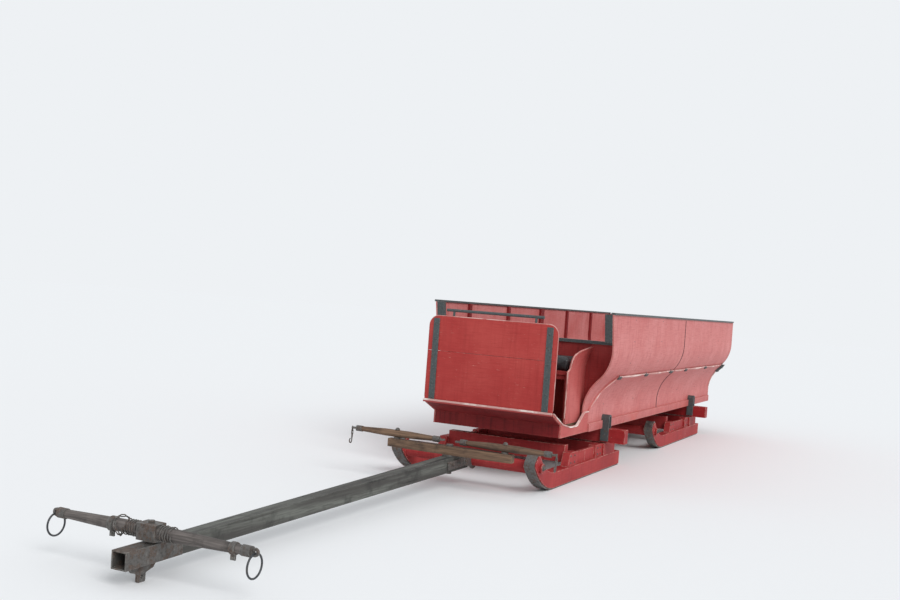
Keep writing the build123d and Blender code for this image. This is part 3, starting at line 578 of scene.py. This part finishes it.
class Form:
    """Mesh under way, which becomes one piece."""

    def __init__(self) -> None:
        """Start with an empty mesh."""
        self.mesh = bmesh.new()

    def skin(self, rings: Sequence[Sequence[Vector]], closed: bool = False) -> None:
        """Add a body that is given as rings of corners.

        Args:
            rings: The rings in order, each with as many corners.
            closed: True where the last joins the first. Otherwise the ends are capped.
        """
        rows = [[self.mesh.verts.new(corner) for corner in ring] for ring in rings]
        sides = len(rows[0])
        for first, last in zip(rows, rows[1:] + rows[:1] if closed else rows[1:]):
            for k in range(sides):
                self.mesh.faces.new((first[k], first[(k + 1) % sides], last[(k + 1) % sides], last[k]))
        if not closed:
            self.mesh.faces.new(rows[0][::-1])
            self.mesh.faces.new(rows[-1])

    def tube(self, points: Sequence[Vector], radius: float, sides: int = 8, closed: bool = False) -> None:
        """Add a round bar that follows points.

        Args:
            points: Its middle line.
            radius: Its radius.
            sides: Faces round it.
            closed: True where the last point joins the first.
        """
        rings, turn = [], None
        for i, point in enumerate(points):
            ahead = points[(i + 1) % len(points)] if closed or i + 1 < len(points) else point
            behind = points[i - 1] if closed or i else point
            along = (ahead - behind).normalized()
            if turn is None:
                turn = along.to_track_quat("Z", "Y")
            else:
                turn = turn.to_matrix().col[2].rotation_difference(along) @ turn
            rings.append([point + turn @ corner for corner in circle(radius, sides)])
        self.skin(rings, closed)

    def dome(self, spot: Spot, size: Sizes, sides: int = 12) -> None:
        """Add the round head of a nail or coach bolt.

        Args:
            spot: Its place and the way that it faces.
            size: Its radius and how far it stands out.
            sides: Faces round it.
        """
        turn = Matrix.Translation(spot[0]) @ frame_along(spot[1])
        self.skin([[turn @ corner for corner in circle(size[0] * spread, sides, size[1] * rise)]
                   for spread, rise in ((1.0, -0.15), (0.97, 0.25), (0.8, 0.65), (0.45, 0.92))])

    def nut(self, spot: Spot, size: Sizes) -> None:
        """Add a six-sided nut with a washer under it and a bolt's end through it.

        Args:
            spot: Its place and the way that it faces.
            size: Half its width over the corners, and its thickness.
        """
        turn = Matrix.Translation(spot[0]) @ frame_along(spot[1])
        for spread, low, high, sides in ((1.5, 0.0, 0.18, 20), (1.0, 0.18, 1.1, 6), (0.5, 1.1, 1.6, 12)):
            bmesh.ops.create_cone(self.mesh, cap_ends=True, segments=sides, radius1=size[0] * spread,
                                  radius2=size[0] * spread * 0.94, depth=size[1] * (high - low),
                                  matrix=turn @ Matrix.Translation(UP * size[1] * (low + high) / 2))

    def block(self, place: Matrix, size: Sizes) -> None:
        """Add a block with its middle at a place."""
        bmesh.ops.create_cube(self.mesh, size=1.0, matrix=place @ Matrix.Diagonal((*size, 1)))

    def links(self, points: Sequence[Vector], wire: float, length: float) -> None:
        """Add a chain, each link turned a quarter from the last.

        Args:
            points: Middle of each link.
            wire: Radius of the links' wire.
            length: Length of a link between its ends' centres.
        """
        across = wire * 1.7
        straight = length / 2 - across
        for i, point in enumerate(points):
            along = points[min(i + 1, len(points) - 1)] - points[max(i - 1, 0)]
            turn = frame_along(along.normalized()) @ Matrix.Rotation(math.pi / 2 * (i % 2), 4, "Z")
            self.tube([point + turn @ Vector((bend.x, 0, bend.y + (straight if bend.y > 0 else -straight)))
                       for bend in circle(across, 16)], wire, 6, closed=True)

    def piece(self, name: str, finish: Finish, body: str = "box", smooth: bool = True) -> Object:
        """Turn the mesh into a piece that rides on a body.

        Args:
            name: The piece's name.
            finish: Its finish.
            body: CAD body that carries it.
            smooth: True for rounded shading.

        Returns:
            The new object.
        """
        data = bpy.data.meshes.new(name)
        bmesh.ops.recalc_face_normals(self.mesh, faces=self.mesh.faces)
        self.mesh.to_mesh(data)
        self.mesh.free()
        data.materials.append(finish.build())
        for face in data.polygons:
            face.use_smooth = smooth
        item = place(name, data)
        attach(item, body)
        LOG.info("made %s on %s", name, body)
        return item


@dataclass
class BoxSide:
    """Fittings of one flared side wall, whose lower sheets lap outside the upper ones.

    Between the clips that hold the lap, the lower sheets' edge has sprung out and lost its paint, so each
    span shows a long pale lens. Places along the wall are distances behind the floor's front.
    """

    shop: Workshop
    side: Side
    front_x: float
    rib_backs: Sizes = (1.0, 1.9, 2.8, 3.6, 4.45, 5.2175)
    nail: Sizes = (5 * MM, 1.8 * MM)
    nail_pitch: float = 150 * MM
    nail_margins: Sizes = (25 * MM, 30 * MM)
    clip_backs: Sizes = (0.925, 1.761, 2.668, 3.314, 4.269, 5.19)
    clip_size: Sizes = (78 * MM, 24 * MM, 12 * MM)
    clip_drop: float = 9 * MM
    clip_lift: float = 5.5 * MM
    clip_hook_mm: Sequence[Sizes] = ((9, 14, 4), (8, 16, 18), (2, 10, 31))
    clip_hook_radius: float = 3 * MM
    slant_ends: Sequence[Sizes] = ((0.907, 0.784), (0.655, 0.517))
    slant_spans: Sequence[Sizes] = ((0.06, 0.4), (0.48, 0.93))
    lens_steps: int = 28
    lens_widths: Sizes = (2 * MM, 17 * MM)
    lens_stands: Sizes = (1 * MM, 10 * MM)
    lens_full_length: float = 0.16
    joint_back: float = 2.8
    joint_gap: float = 6 * MM
    joint_foot: float = 0.33
    joint_steps: int = 44
    joint_spread: Sizes = (8 * MM, 5 * MM)
    joint_crown: Sizes = (2.2 * MM, 1.2 * MM)
    joint_depth: float = 9 * MM
    keeper_rows: int = 11
    keeper_reach: Sizes = (74 * MM, 6 * MM)
    keeper_stand: float = 24 * MM
    seat_end_foot: float = 0.47
    seat_end_y: float = 0.471
    seat_end_bend_z: float = 0.8
    seat_end_bend: float = 0.463
    edging_radius: float = 4 * MM
    edging_points: int = 40
    strap_points: int = 10
    strap_step: float = 22 * MM
    strap_radius: float = 5 * MM
    bolt: Sizes = (9 * MM, 6 * MM)

    def __post_init__(self) -> None:
        """Find the wall's sheets."""
        self.label = self.side.name.lower()
        self.lower, self.upper = (partial(self.on_sheet, self.shop.surface(f"side_{tier}_{self.label}"))
                                  for tier in ("lower", "upper"))
        foot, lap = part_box(f"side_lower_{self.label}")
        self.foot, self.lap, self.top = foot.z, lap.z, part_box(f"side_upper_{self.label}")[1].z

    def build(self) -> None:
        """Add the wall's fittings."""
        self.nails()
        self.sprung_edge()
        self.clips()
        self.joint()
        self.latch_keeper()
        self.seat_end_edging()
        self.tail_strap()

    def on_sheet(self, sheet: BVHTree, back: float, height: float) -> Spot | None:
        """Return the spot on the outside of a sheet and its normal, or None where it is open."""
        return meet_from_side(sheet, self.side, self.front_x - back, height)

    def nails(self) -> None:
        """Add the rows of nail heads over the ribs."""
        form = Form()
        low, high = self.foot + self.nail_margins[0], self.top - self.nail_margins[1]
        for back in self.rib_backs:
            for height in steps(low, high, int((high - low) / self.nail_pitch) + 1):
                found = self.upper(back, height) or self.lower(back, height)
                if found:
                    form.dome(found, self.nail, 10)
        form.piece(f"wall_nails_{self.label}", IRON_STRAP)

    def sprung_edge(self) -> None:
        """Add the lower sheets' sprung, worn edge as long lenses, widest and proudest in their middles."""
        clips, top, gap = self.clip_backs, self.lap - 1.2 * MM, self.joint_gap
        stops = sorted((*clips, *clips[1:-1], self.joint_back - gap, self.joint_back + gap))
        spans = [(Vector((near, top)), Vector((away, top))) for near, away in zip(stops[::2], stops[1::2])]
        high, low = (Vector(end) + Vector((2 * MM, -1 * MM)) for end in self.slant_ends)
        spans += [(high.lerp(low, first), high.lerp(low, last)) for first, last in self.slant_spans]
        form = Form()
        for begin, end in spans:
            run = end - begin
            inward = Vector((abs(run.y), -abs(run.x))) / run.length
            rings = []
            for i in range(self.lens_steps + 1):
                share = i / self.lens_steps
                swell = math.sin(math.pi * share) ** 1.2 * min(1.0, run.length / self.lens_full_length)
                width, stand = (ends[0] + (ends[1] - ends[0]) * swell
                                for ends in (self.lens_widths, self.lens_stands))
                edge = self.lower(*(begin + run * share))
                inner = self.lower(*(begin + run * share + inward * width))
                if edge and inner:
                    rings.append([edge[0] + edge[1] * stand, inner[0] + inner[1] * 0.3 * MM,
                                  edge[0] - edge[1] * 5 * MM])
                elif len(rings) < 2:
                    rings = []
            if len(rings) > 1:
                form.skin(rings)
        form.piece(f"sprung_edge_{self.label}", EDGING, smooth=False)

    def clips(self) -> None:
        """Add the dark bent clips that hold the lap."""
        form = Form()
        for back in self.clip_backs:
            found = self.lower(back, self.lap - self.clip_drop)
            if not found:
                continue
            spot, normal = found
            down = normal.cross(FORWARD).normalized()
            turn = Matrix((FORWARD, down, normal)).transposed().to_4x4()
            form.block(Matrix.Translation(spot + normal * self.clip_lift) @ turn, self.clip_size)
            form.dome((spot + normal * 2 * self.clip_lift, normal), self.bolt)
            form.tube([spot + (normal * out + Vector((ahead, 0, up))) * MM
                       for out, ahead, up in self.clip_hook_mm], self.clip_hook_radius)
        form.piece(f"seam_clips_{self.label}", IRON_STRAP, smooth=False)

    def joint(self) -> None:
        """Add the dark strip in the upright joint between the front and rear sheets, as painted shade of the
        gap.
        """
        draw = random.Random(17 + self.side.value)
        form = Form()
        for sheet, low, high in ((self.lower, self.joint_foot, self.lap - 4 * MM),
                                 (self.upper, self.lap, self.top - 12 * MM)):
            rings = []
            for i in range(self.joint_steps + 1):
                share = i / self.joint_steps
                height = low + (high - low) * share
                spread = self.joint_spread[0] + self.joint_spread[1] * draw.random()
                spread *= min(1.0, 0.35 + 2.5 * share)
                ahead = sheet(self.joint_back - spread, height)
                behind = sheet(self.joint_back + spread, height)
                if not ahead or not behind:
                    continue
                rise = self.joint_crown[0] + self.joint_crown[1] * draw.random()
                crown = (ahead[0] + behind[0]) / 2 + ahead[1] * rise
                rings.append([ahead[0] + ahead[1] * 0.6 * MM, crown, behind[0] + behind[1] * 0.6 * MM,
                              crown - ahead[1] * self.joint_depth])
            form.skin(rings)
        form.piece(f"joint_seam_{self.label}", JOINT_SHADE)

    def latch_keeper(self) -> None:
        """Add the bent keeper plate that covers the end of the lap and takes the gate's hook."""
        low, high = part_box("gate_latches")
        reach = self.front_x - low.x
        rings = []
        for height in steps(low.z + 2 * MM, high.z - 6 * MM, self.keeper_rows):
            near = self.lower(reach - self.keeper_reach[0], height)
            away = self.lower(reach - self.keeper_reach[1], height)
            if near and away:
                rings.append([near[0] - near[1] * 2 * MM, near[0] + near[1] * 8 * MM,
                              near[0] + near[1] * self.keeper_stand - FORWARD * 9 * MM,
                              away[0] + away[1] * self.keeper_stand, away[0] - away[1] * 2 * MM])
        form = Form()
        form.skin(rings)
        across = Vector((0, self.side.value * 0.8, -0.6)).normalized()
        for share in (0.25, 0.75):
            ring = rings[round(share * (len(rings) - 1))]
            form.dome(((ring[2] + ring[3]) / 2 + across * 1 * MM, across), self.bolt)
        form.piece(f"latch_keeper_{self.label}", IRON_STRAP, smooth=False)

    def seat_end_edging(self) -> None:
        """Add the pale edging round the front of a seat end, which leans out above its bend."""
        faces = self.shop.surface("seat_ends")
        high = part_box("seat_ends")[1]
        points = []
        for height in steps(self.seat_end_foot, high.z - 6 * MM, self.edging_points):
            lean = max(0.0, height - self.seat_end_bend_z)
            y = self.seat_end_y + self.seat_end_bend - math.sqrt(self.seat_end_bend ** 2 - lean ** 2)
            found = meet(faces, (high.x + 0.3, self.side.value * y, height), -FORWARD)
            if found:
                points.append(found[0])
        form = Form()
        form.tube(points, self.edging_radius)
        form.piece(f"seat_end_edging_{self.label}", EDGING_THIN)

    def tail_strap(self) -> None:
        """Add the thin strap that hangs below the tail latch."""
        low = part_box("gate_latches")[0]
        points = []
        for i in range(self.strap_points):
            found = self.lower(self.front_x - low.x - (10 + 1.5 * i) * MM,
                               low.z + 6 * MM - i * self.strap_step)
            if found:
                points.append(found[0] + found[1] * self.strap_radius)
        form = Form()
        form.tube(points, self.strap_radius)
        form.dome((points[-1], Vector((0, self.side.value, 0))), self.bolt)
        form.piece(f"tail_strap_{self.label}", EDGING)


@dataclass
class SleighBox:
    """Plywood box with flared sides, dash, floor and benches."""

    shop: Workshop
    red_on_strip: float = 11 * MM
    dash_corner: float = 75 * MM
    edging_foot: float = 40 * MM
    edging_stand: float = 1 * MM
    edging_radius: float = 4 * MM
    strap_middle: float = 24 * MM
    bolt_rows: int = 6
    bolt_margins: Sizes = (40 * MM, 50 * MM)
    bolt: Sizes = (8 * MM, 4 * MM)

    def build(self) -> None:
        """Dress the nodes and add the fittings."""
        shop = self.shop
        foot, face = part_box("dash_lower")
        strip = replace(EDGING, name="dash foot strip, rubbed on top", red_below=foot.z + self.red_on_strip,
                        ahead_of=face.x)
        shop.dress({
            PAINT_DASH: "dash_lower dash_upper",
            PAINT_SIDE: "side_lower_left side_lower_right side_upper_left side_upper_right bottom_rails",
            PAINT_SILL: "door_sills seat_ends",
            # These boards take red darkened as painted shade
            PAINT_SHADED: "prow_panel floor_headers floor_sills dash_battens side_ribs",
            PAINT_SHADED_INNER: "partition seat_frame driver_seat",
            PAINT_BENCH: "benches bench_supports",
            WOOD_FLOOR: "floor_deck",
            IRON_STRAP: "dash_straps cap_rails end_posts stakes gate_latches rein_rail hinge_leaves",
            strip: "dash_trim",
            PAINT_BOB_WIDE: "bolsters"})
        for side in Side:
            BoxSide(shop, side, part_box("floor_headers")[1].x).build()
        self.dash_edging()
        self.dash_bolts()

    def dash_edging(self) -> None:
        """Add the thin pale edging round the dash's sides and top."""
        low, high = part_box("dash_upper")
        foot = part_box("dash_lower")[0].z + self.edging_foot
        x, corner = (low.x + high.x) / 2, self.dash_corner
        half, top = high.y + self.edging_stand, high.z + self.edging_stand
        points = [Vector((x, half, z)) for z in steps(foot, top - corner, 9)[:-1]]
        for angle in steps(0, math.pi / 2, 13):
            points.append(Vector((x, half - corner + corner * math.cos(angle),
                                  top - corner + corner * math.sin(angle))))
        points += [Vector((p.x, -p.y, p.z)) for p in reversed(points)]
        form = Form()
        form.tube(points, self.edging_radius)
        form.piece("dash_edging", EDGING_THIN)

    def dash_bolts(self) -> None:
        """Add the coach bolts down both dash straps."""
        form = Form()
        low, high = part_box("dash_straps")
        for side in Side:
            for z in steps(low.z + self.bolt_margins[0], high.z - self.bolt_margins[1], self.bolt_rows):
                spot = Vector((high.x, side.value * (high.y - self.strap_middle), z))
                form.dome((spot, FORWARD), self.bolt)
        form.piece("dash_bolts", IRON_STRAP)


@dataclass
class DriverSeat:
    """Padded black cushion on the driver's seat board."""

    shop: Workshop
    slack: Sizes = (10 * MM, 10 * MM, 12 * MM)
    edge_radius: float = 14 * MM
    voxel: float = 7 * MM
    pressure: float = 4.0
    stiffness: float = 25
    settle_frames: int = 14
    swell_limit: float = 9 * MM
    seams: Sizes = (1 / 3, 2 / 3)
    seam_width: float = 9 * MM
    seam_depth: float = 9 * MM

    def __post_init__(self) -> None:
        """Find the cushion's space."""
        self.low, self.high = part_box("driver_cushion")

    def build(self) -> None:
        """Make the cushion in place of its plain solid."""
        slack = Vector(self.slack)
        form = Form()
        middle = (self.low + self.high - UP * slack.z) / 2
        form.block(Matrix.Translation(middle), self.high - self.low - slack)
        bmesh.ops.bevel(form.mesh, geom=form.mesh.edges[:], offset=self.edge_radius, segments=3,
                        affect="EDGES")
        cushion = form.piece("driver_seat_pad", VINYL)
        self.fill(cushion)
        self.sew(cushion)
        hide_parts("driver_cushion")

    def fill(self, cushion: Object) -> None:
        """Swell the cover like foam inside it.

        Args:
            cushion: Piece to fill.
        """
        scene = bpy.context.scene
        bpy.context.view_layer.objects.active = cushion
        remesh = cushion.modifiers.new("remesh", "REMESH")
        remesh.mode = "VOXEL"
        remesh.voxel_size = self.voxel
        bpy.ops.object.modifier_apply(modifier=remesh.name)
        cloth = cushion.modifiers.new("cloth", "CLOTH")
        cloth.settings.use_pressure = True
        cloth.settings.uniform_pressure_force = self.pressure
        cloth.settings.effector_weights.gravity = 0.0
        cloth.settings.tension_stiffness = self.stiffness
        for step in range(1, self.settle_frames + 1):
            scene.frame_set(step)
        filled = cushion.evaluated_get(bpy.context.evaluated_depsgraph_get())
        moves = [last.co - first.co for first, last in zip(cushion.data.vertices, filled.data.vertices)]
        cushion.modifiers.remove(cloth)
        scene.frame_set(1)
        for vertex, move in zip(cushion.data.vertices, moves):
            vertex.co += move * min(1.0, self.swell_limit / max(move.length, 1e-9))
            vertex.co.z = max(vertex.co.z, self.low.z)
        for face in cushion.data.polygons:
            face.use_smooth = True

    def sew(self, cushion: Object) -> None:
        """Press the sewn channels across the cushion's top.

        Args:
            cushion: Piece to press.
        """
        for vertex in cushion.data.vertices:
            for seam in self.seams:
                away = vertex.co.y - self.low.y - seam * (self.high.y - self.low.y)
                if vertex.co.z > (self.low.z + self.high.z) / 2:
                    vertex.co.z -= self.seam_depth * math.exp(-(away / self.seam_width) ** 2)
            vertex.co.z = min(vertex.co.z, self.high.z)


@dataclass
class Bob:
    """One pair of runners with knees, beams and shoes. Bolts are placed from the knees' ends and middle."""

    shop: Workshop
    prefix: str
    body: str
    rear_bolts: Sizes = (55 * MM, 130 * MM)
    front_bolts: Sizes = (60 * MM, 150 * MM)
    bolt_rises: Sizes = (-26 * MM, 24 * MM)
    bolt: Sizes = (9 * MM, 5 * MM)
    nose_back: float = 46 * MM
    nose_rise: float = 0.38
    nut: Sizes = (15 * MM, 13 * MM)

    def build(self) -> None:
        """Dress the bob's nodes and add its bolts."""
        name = self.prefix
        self.shop.dress({PAINT_BOB_LONG: f"{name}_runners {name}_knees", IRON_SHOE: f"{name}_shoes",
                         PAINT_BOB_WIDE: f"{name}_bench {name}_beams", IRON_RUSTY: f"{name}_king_pin"})
        self.knee_bolts()
        self.nose_nuts()

    def knee_bolts(self) -> None:
        """Add coach bolts through the knees' faces."""
        form = Form()
        low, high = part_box(f"{self.prefix}_knees")
        places = [low.x + back for back in self.rear_bolts] + [high.x - back for back in self.front_bolts]
        for side in Side:
            for x in places:
                for rise in self.bolt_rises:
                    form.dome((Vector((x, side.value * high.y, (low.z + high.z) / 2 + rise)),
                               Vector((0, side.value, 0))), self.bolt)
        form.piece(f"{self.prefix}_knee_bolts", IRON_RUSTY, self.body)

    def nose_nuts(self) -> None:
        """Add a nut on each end of the nose beam's tenon."""
        form = Form()
        low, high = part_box(f"{self.prefix}_beams")
        faces = self.shop.surface(f"{self.prefix}_beams")
        for side in Side:
            found = meet_from_side(faces, side, high.x - self.nose_back,
                                   low.z + (high.z - low.z) * self.nose_rise)
            if found:
                form.nut(found, self.nut)
        form.piece(f"{self.prefix}_nose_nuts", IRON_RUSTY, self.body, smooth=False)


@dataclass
class DraftGear:
    """Pole, evener, singletrees and neck yoke."""

    shop: Workshop
    seed: int = 11
    pole_bolts_at: Sizes = (0.45, 0.66, 0.88)
    pole_nut: Sizes = (12 * MM, 10 * MM)
    pole_bolt: Sizes = (14 * MM, 7 * MM)
    wire: float = 2.6 * MM
    wire_stand: float = 3.5 * MM
    wire_turns: int = 5
    wire_start: float = 62 * MM
    wire_run: float = 70 * MM
    corners: int = 14
    chain_links: int = 13
    chain_stand: float = 9 * MM
    chain_wave: float = 10 * MM
    chain_y: float = -165 * MM
    link_length: float = 24 * MM
    collars: Sequence[Sizes] = ((-0.21, 27.5 * MM), (0.44, 21.5 * MM))
    bands: Sequence[Sizes] = ((30 * MM, 4 * MM), (22 * MM, 6 * MM))
    ear_size: Sizes = (9 * MM, 24 * MM, 26 * MM)
    ear_nut: Sizes = (7 * MM, 6 * MM)
    hook_wire: float = 4.2 * MM
    hook_bend: float = 16 * MM
    hook_link_wire: float = 3.2 * MM
    hook_link_length: float = 34 * MM
    hook_link_step: float = 25 * MM
    hook_drop: float = 34 * MM

    def __post_init__(self) -> None:
        """Find the yoke's middle and how far out its winding lies."""
        low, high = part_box("yoke_bar")
        self.middle = Vector(((low.x + high.x) / 2, 0, (low.z + high.z) / 2))
        self.radius = (high.x - low.x) / 2 + self.wire_stand

    def build(self) -> None:
        """Dress the draft gear and add its ironwork."""
        self.shop.dress({
            WOOD_POLE: "pole_timber",
            IRON_RUSTY: "pole_tip pole_irons evener_pin evener_clips yoke_pin yoke_irons "
                        "singletree_left_irons singletree_right_irons",
            IRON_RING: "yoke_rings",
            WOOD_TREE: "evener singletree_left singletree_right",
            WOOD_YOKE: "yoke_bar"})
        self.pole_bolts()
        self.lashing()
        self.chain()
        self.yoke_collars()
        self.trace_hooks()

    def pole_bolts(self) -> None:
        """Add nuts and bolt heads along the pole irons."""
        form = Form()
        low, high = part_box("pole_irons")
        faces = self.shop.surface("pole_irons")
        for share in self.pole_bolts_at:
            for side in Side:
                found = meet_from_side(faces, side, low.x + (high.x - low.x) * share,
                                       (low.z + high.z) / 2 - 2 * MM * share)
                if found and side is Side.LEFT:
                    form.nut(found, self.pole_nut)
                elif found:
                    form.dome(found, self.pole_bolt)
        form.piece("pole_bolts", IRON_RUSTY, "pole")

    def lashing(self) -> None:
        """Add the wire wound round the neck yoke beside its clamp."""
        draw = random.Random(self.seed)
        form = Form()
        count = self.wire_turns * self.corners
        for side in Side:
            points = []
            for k in range(count + 1):
                angle = 2 * math.pi * k / self.corners
                along = self.wire_start + self.wire_run * k / count + draw.uniform(-2.5, 2.5) * MM
                reach = self.radius + draw.uniform(0, 3) * MM
                points.append(self.middle + Vector((reach * math.cos(angle), side.value * along,
                                                    reach * math.sin(angle))))
            form.tube(points, self.wire, 6)
        form.piece("yoke_lashing", IRON_RUSTY, "neck_yoke")

    def chain(self) -> None:
        """Add the short chain wound once round the neck yoke, outside the lashing."""
        radius = self.radius + self.chain_stand
        angles = steps(0.05 * math.pi, 1.95 * math.pi, self.chain_links)
        form = Form()
        points = [self.middle + Vector((radius * math.cos(angle),
                                        self.chain_y - self.chain_wave * math.sin(angle * 2),
                                        radius * math.sin(angle))) for angle in angles]
        form.links(points, self.wire, self.link_length)
        form.piece("yoke_chain", IRON_RUSTY, "neck_yoke")

    def yoke_collars(self) -> None:
        """Add two clamped bands on the neck yoke, each with an ear that a small bolt closes."""
        form = Form()
        for y, radius in self.collars:
            centre = self.middle + Vector((0, y, 0))
            turn = Matrix.Translation(centre) @ Matrix.Rotation(math.pi / 2, 4, "X")
            for length, grow in self.bands:
                bmesh.ops.create_cone(form.mesh, cap_ends=True, segments=28, radius1=radius + grow,
                                      radius2=radius + grow, depth=length, matrix=turn)
            drop = radius + 14 * MM
            form.block(Matrix.Translation(centre + Vector((4 * MM, 0, -drop))), self.ear_size)
            form.nut((centre + Vector((8.5 * MM, 0, -drop - 2 * MM)), FORWARD), self.ear_nut)
        form.piece("yoke_collars", IRON_RUSTY, "neck_yoke", smooth=False)

    def trace_hooks(self) -> None:
        """Add the open hook and three chain links that hang from each singletree's outer eye."""
        for side in Side:
            tree = f"singletree_{side.name.lower()}"
            low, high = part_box(f"{tree}_irons")
            y = max(high.y, -low.y) - 4 * MM
            top = Vector(((low.x + high.x) / 2, side.value * y, (low.z + high.z) / 2 - 8 * MM))
            links = [top - UP * self.hook_link_step * k for k in range(3)]
            form = Form()
            form.links(links, self.hook_link_wire, self.hook_link_length)
            hook = [links[-1] - UP * 12 * MM]
            for angle in steps(math.radians(-90), math.radians(160), 13):
                hook.append(links[-1] + Vector((self.hook_bend * (1 + math.sin(angle)), 0,
                                                -self.hook_drop - self.hook_bend * math.cos(angle))))
            form.tube(hook, self.hook_wire)
            form.piece(f"trace_hook_{side.name.lower()}", IRON_RUSTY, tree)


@dataclass
class Tailgate:
    """Drop gate at the rear with its hinge straps."""

    shop: Workshop
    bolts_per_row: int = 7
    end_margin: float = 0.3
    foot_margin: float = 100 * MM
    top_margin: float = 105 * MM
    bolt: Sizes = (7 * MM, 4 * MM)

    def build(self) -> None:
        """Dress the gate and add its bolts."""
        self.shop.dress({PAINT_SIDE: "tailgate", IRON_STRAP: "hinge_straps"})
        form = Form()
        low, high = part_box("tailgate")
        faces = self.shop.surface("tailgate")
        for height in (low.z + self.foot_margin, high.z - self.top_margin):
            for y in steps(self.end_margin - high.y, high.y - self.end_margin, self.bolts_per_row):
                found = meet(faces, (low.x - 1, y, height), FORWARD)
                if found:
                    form.dome(found, self.bolt)
        form.piece("gate_bolts", IRON_STRAP, "tailgate")


@dataclass
class Studio:
    """Pale floor, light of a bright overcast sky, and the photograph's camera."""

    front_x: float
    eye: Sizes = (7.42, 3.038, 1.299)
    yaw_deg: float = 25.22
    roll_deg: float = 4.32
    lens_mm: float = 42.4
    clip_end: float = 200
    floor_colour: str = "#ECEDEE"
    floor_size: float = 160.0
    sky_colour: str = "#F2F5F8"
    sky_strength: float = 0.8
    seen_colour: str = "#EEF1F4"
    sun_energy: float = 1.6
    sun_spread_deg: float = 32
    sun_towards: Sizes = (-0.5, -0.75, -0.7)

    def build(self) -> None:
        """Make the floor, the lights and the camera."""
        self.floor()
        self.sky()
        self.sun()
        self.camera()
        bpy.context.scene.view_settings.view_transform = "Standard"

    def floor(self) -> None:
        """Lay the pale floor under the runners."""
        bpy.ops.mesh.primitive_plane_add(size=self.floor_size)
        plane = bpy.context.object
        plane.name = "studio_floor"
        plane.data.materials.append(Coats("studio floor", self.floor_colour).seal(
            {"Roughness": 1.0, "Specular IOR Level": 0.0}))

    def sky(self) -> None:
        """Light the sleigh by the sky, and show a plain pale colour behind it and in its metal."""
        world = bpy.data.worlds.new("overcast")
        bpy.context.scene.world = world
        world.use_nodes = True
        world.node_tree.nodes.clear()
        node = partial(add_node, world.node_tree)
        sky = node("Background", {"Color": linear(self.sky_colour), "Strength": self.sky_strength})
        seen = node("Background", {"Color": linear(self.seen_colour), "Strength": 1.0})
        path = node("LightPath").outputs
        plain = path["Is Camera Ray"]
        for ray in ("Is Glossy Ray", "Is Transmission Ray"):
            plain = node("Math", (plain, path[ray]), operation="MAXIMUM")
        mixed = node("MixShader", (plain, sky, seen))
        node("OutputWorld", {"Surface": mixed})

    def sun(self) -> None:
        """Add a broad soft sun from the sleigh's left front."""
        lamp = bpy.data.lights.new("sun", "SUN")
        lamp.energy = self.sun_energy
        lamp.angle = math.radians(self.sun_spread_deg)
        place("sun", lamp).rotation_euler = Vector(self.sun_towards).to_track_quat("-Z", "Y").to_euler()

    def camera(self) -> None:
        """Place the level camera ahead of the sleigh's left front, rolled as the photograph is."""
        data = bpy.data.cameras.new("camera")
        data.lens = self.lens_mm
        data.clip_end = self.clip_end
        item = place("camera", data)
        item.matrix_world = (Matrix.Translation(Vector(self.eye) + FORWARD * self.front_x)
                             @ Matrix.Rotation(math.radians(90 + self.yaw_deg), 4, "Z")
                             @ Matrix.Rotation(math.radians(90), 4, "X")
                             @ Matrix.Rotation(math.radians(self.roll_deg), 4, "Z"))
        bpy.context.scene.camera = item


def main() -> None:
    """Load the frame, build every sub-assembly in order and log each one."""
    logging.basicConfig(level=logging.INFO, format="%(name)s: %(message)s")
    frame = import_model()
    shop = Workshop(frame["nodes"])
    for part in (SleighBox(shop), DriverSeat(shop), Tailgate(shop), Bob(shop, "front", "front_bob"),
                 Bob(shop, "rear", "box"), DraftGear(shop), Studio(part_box("floor_headers")[1].x)):
        part.build()
        LOG.info("built %s", type(part).__name__)


if __name__ == "__main__":
    main()
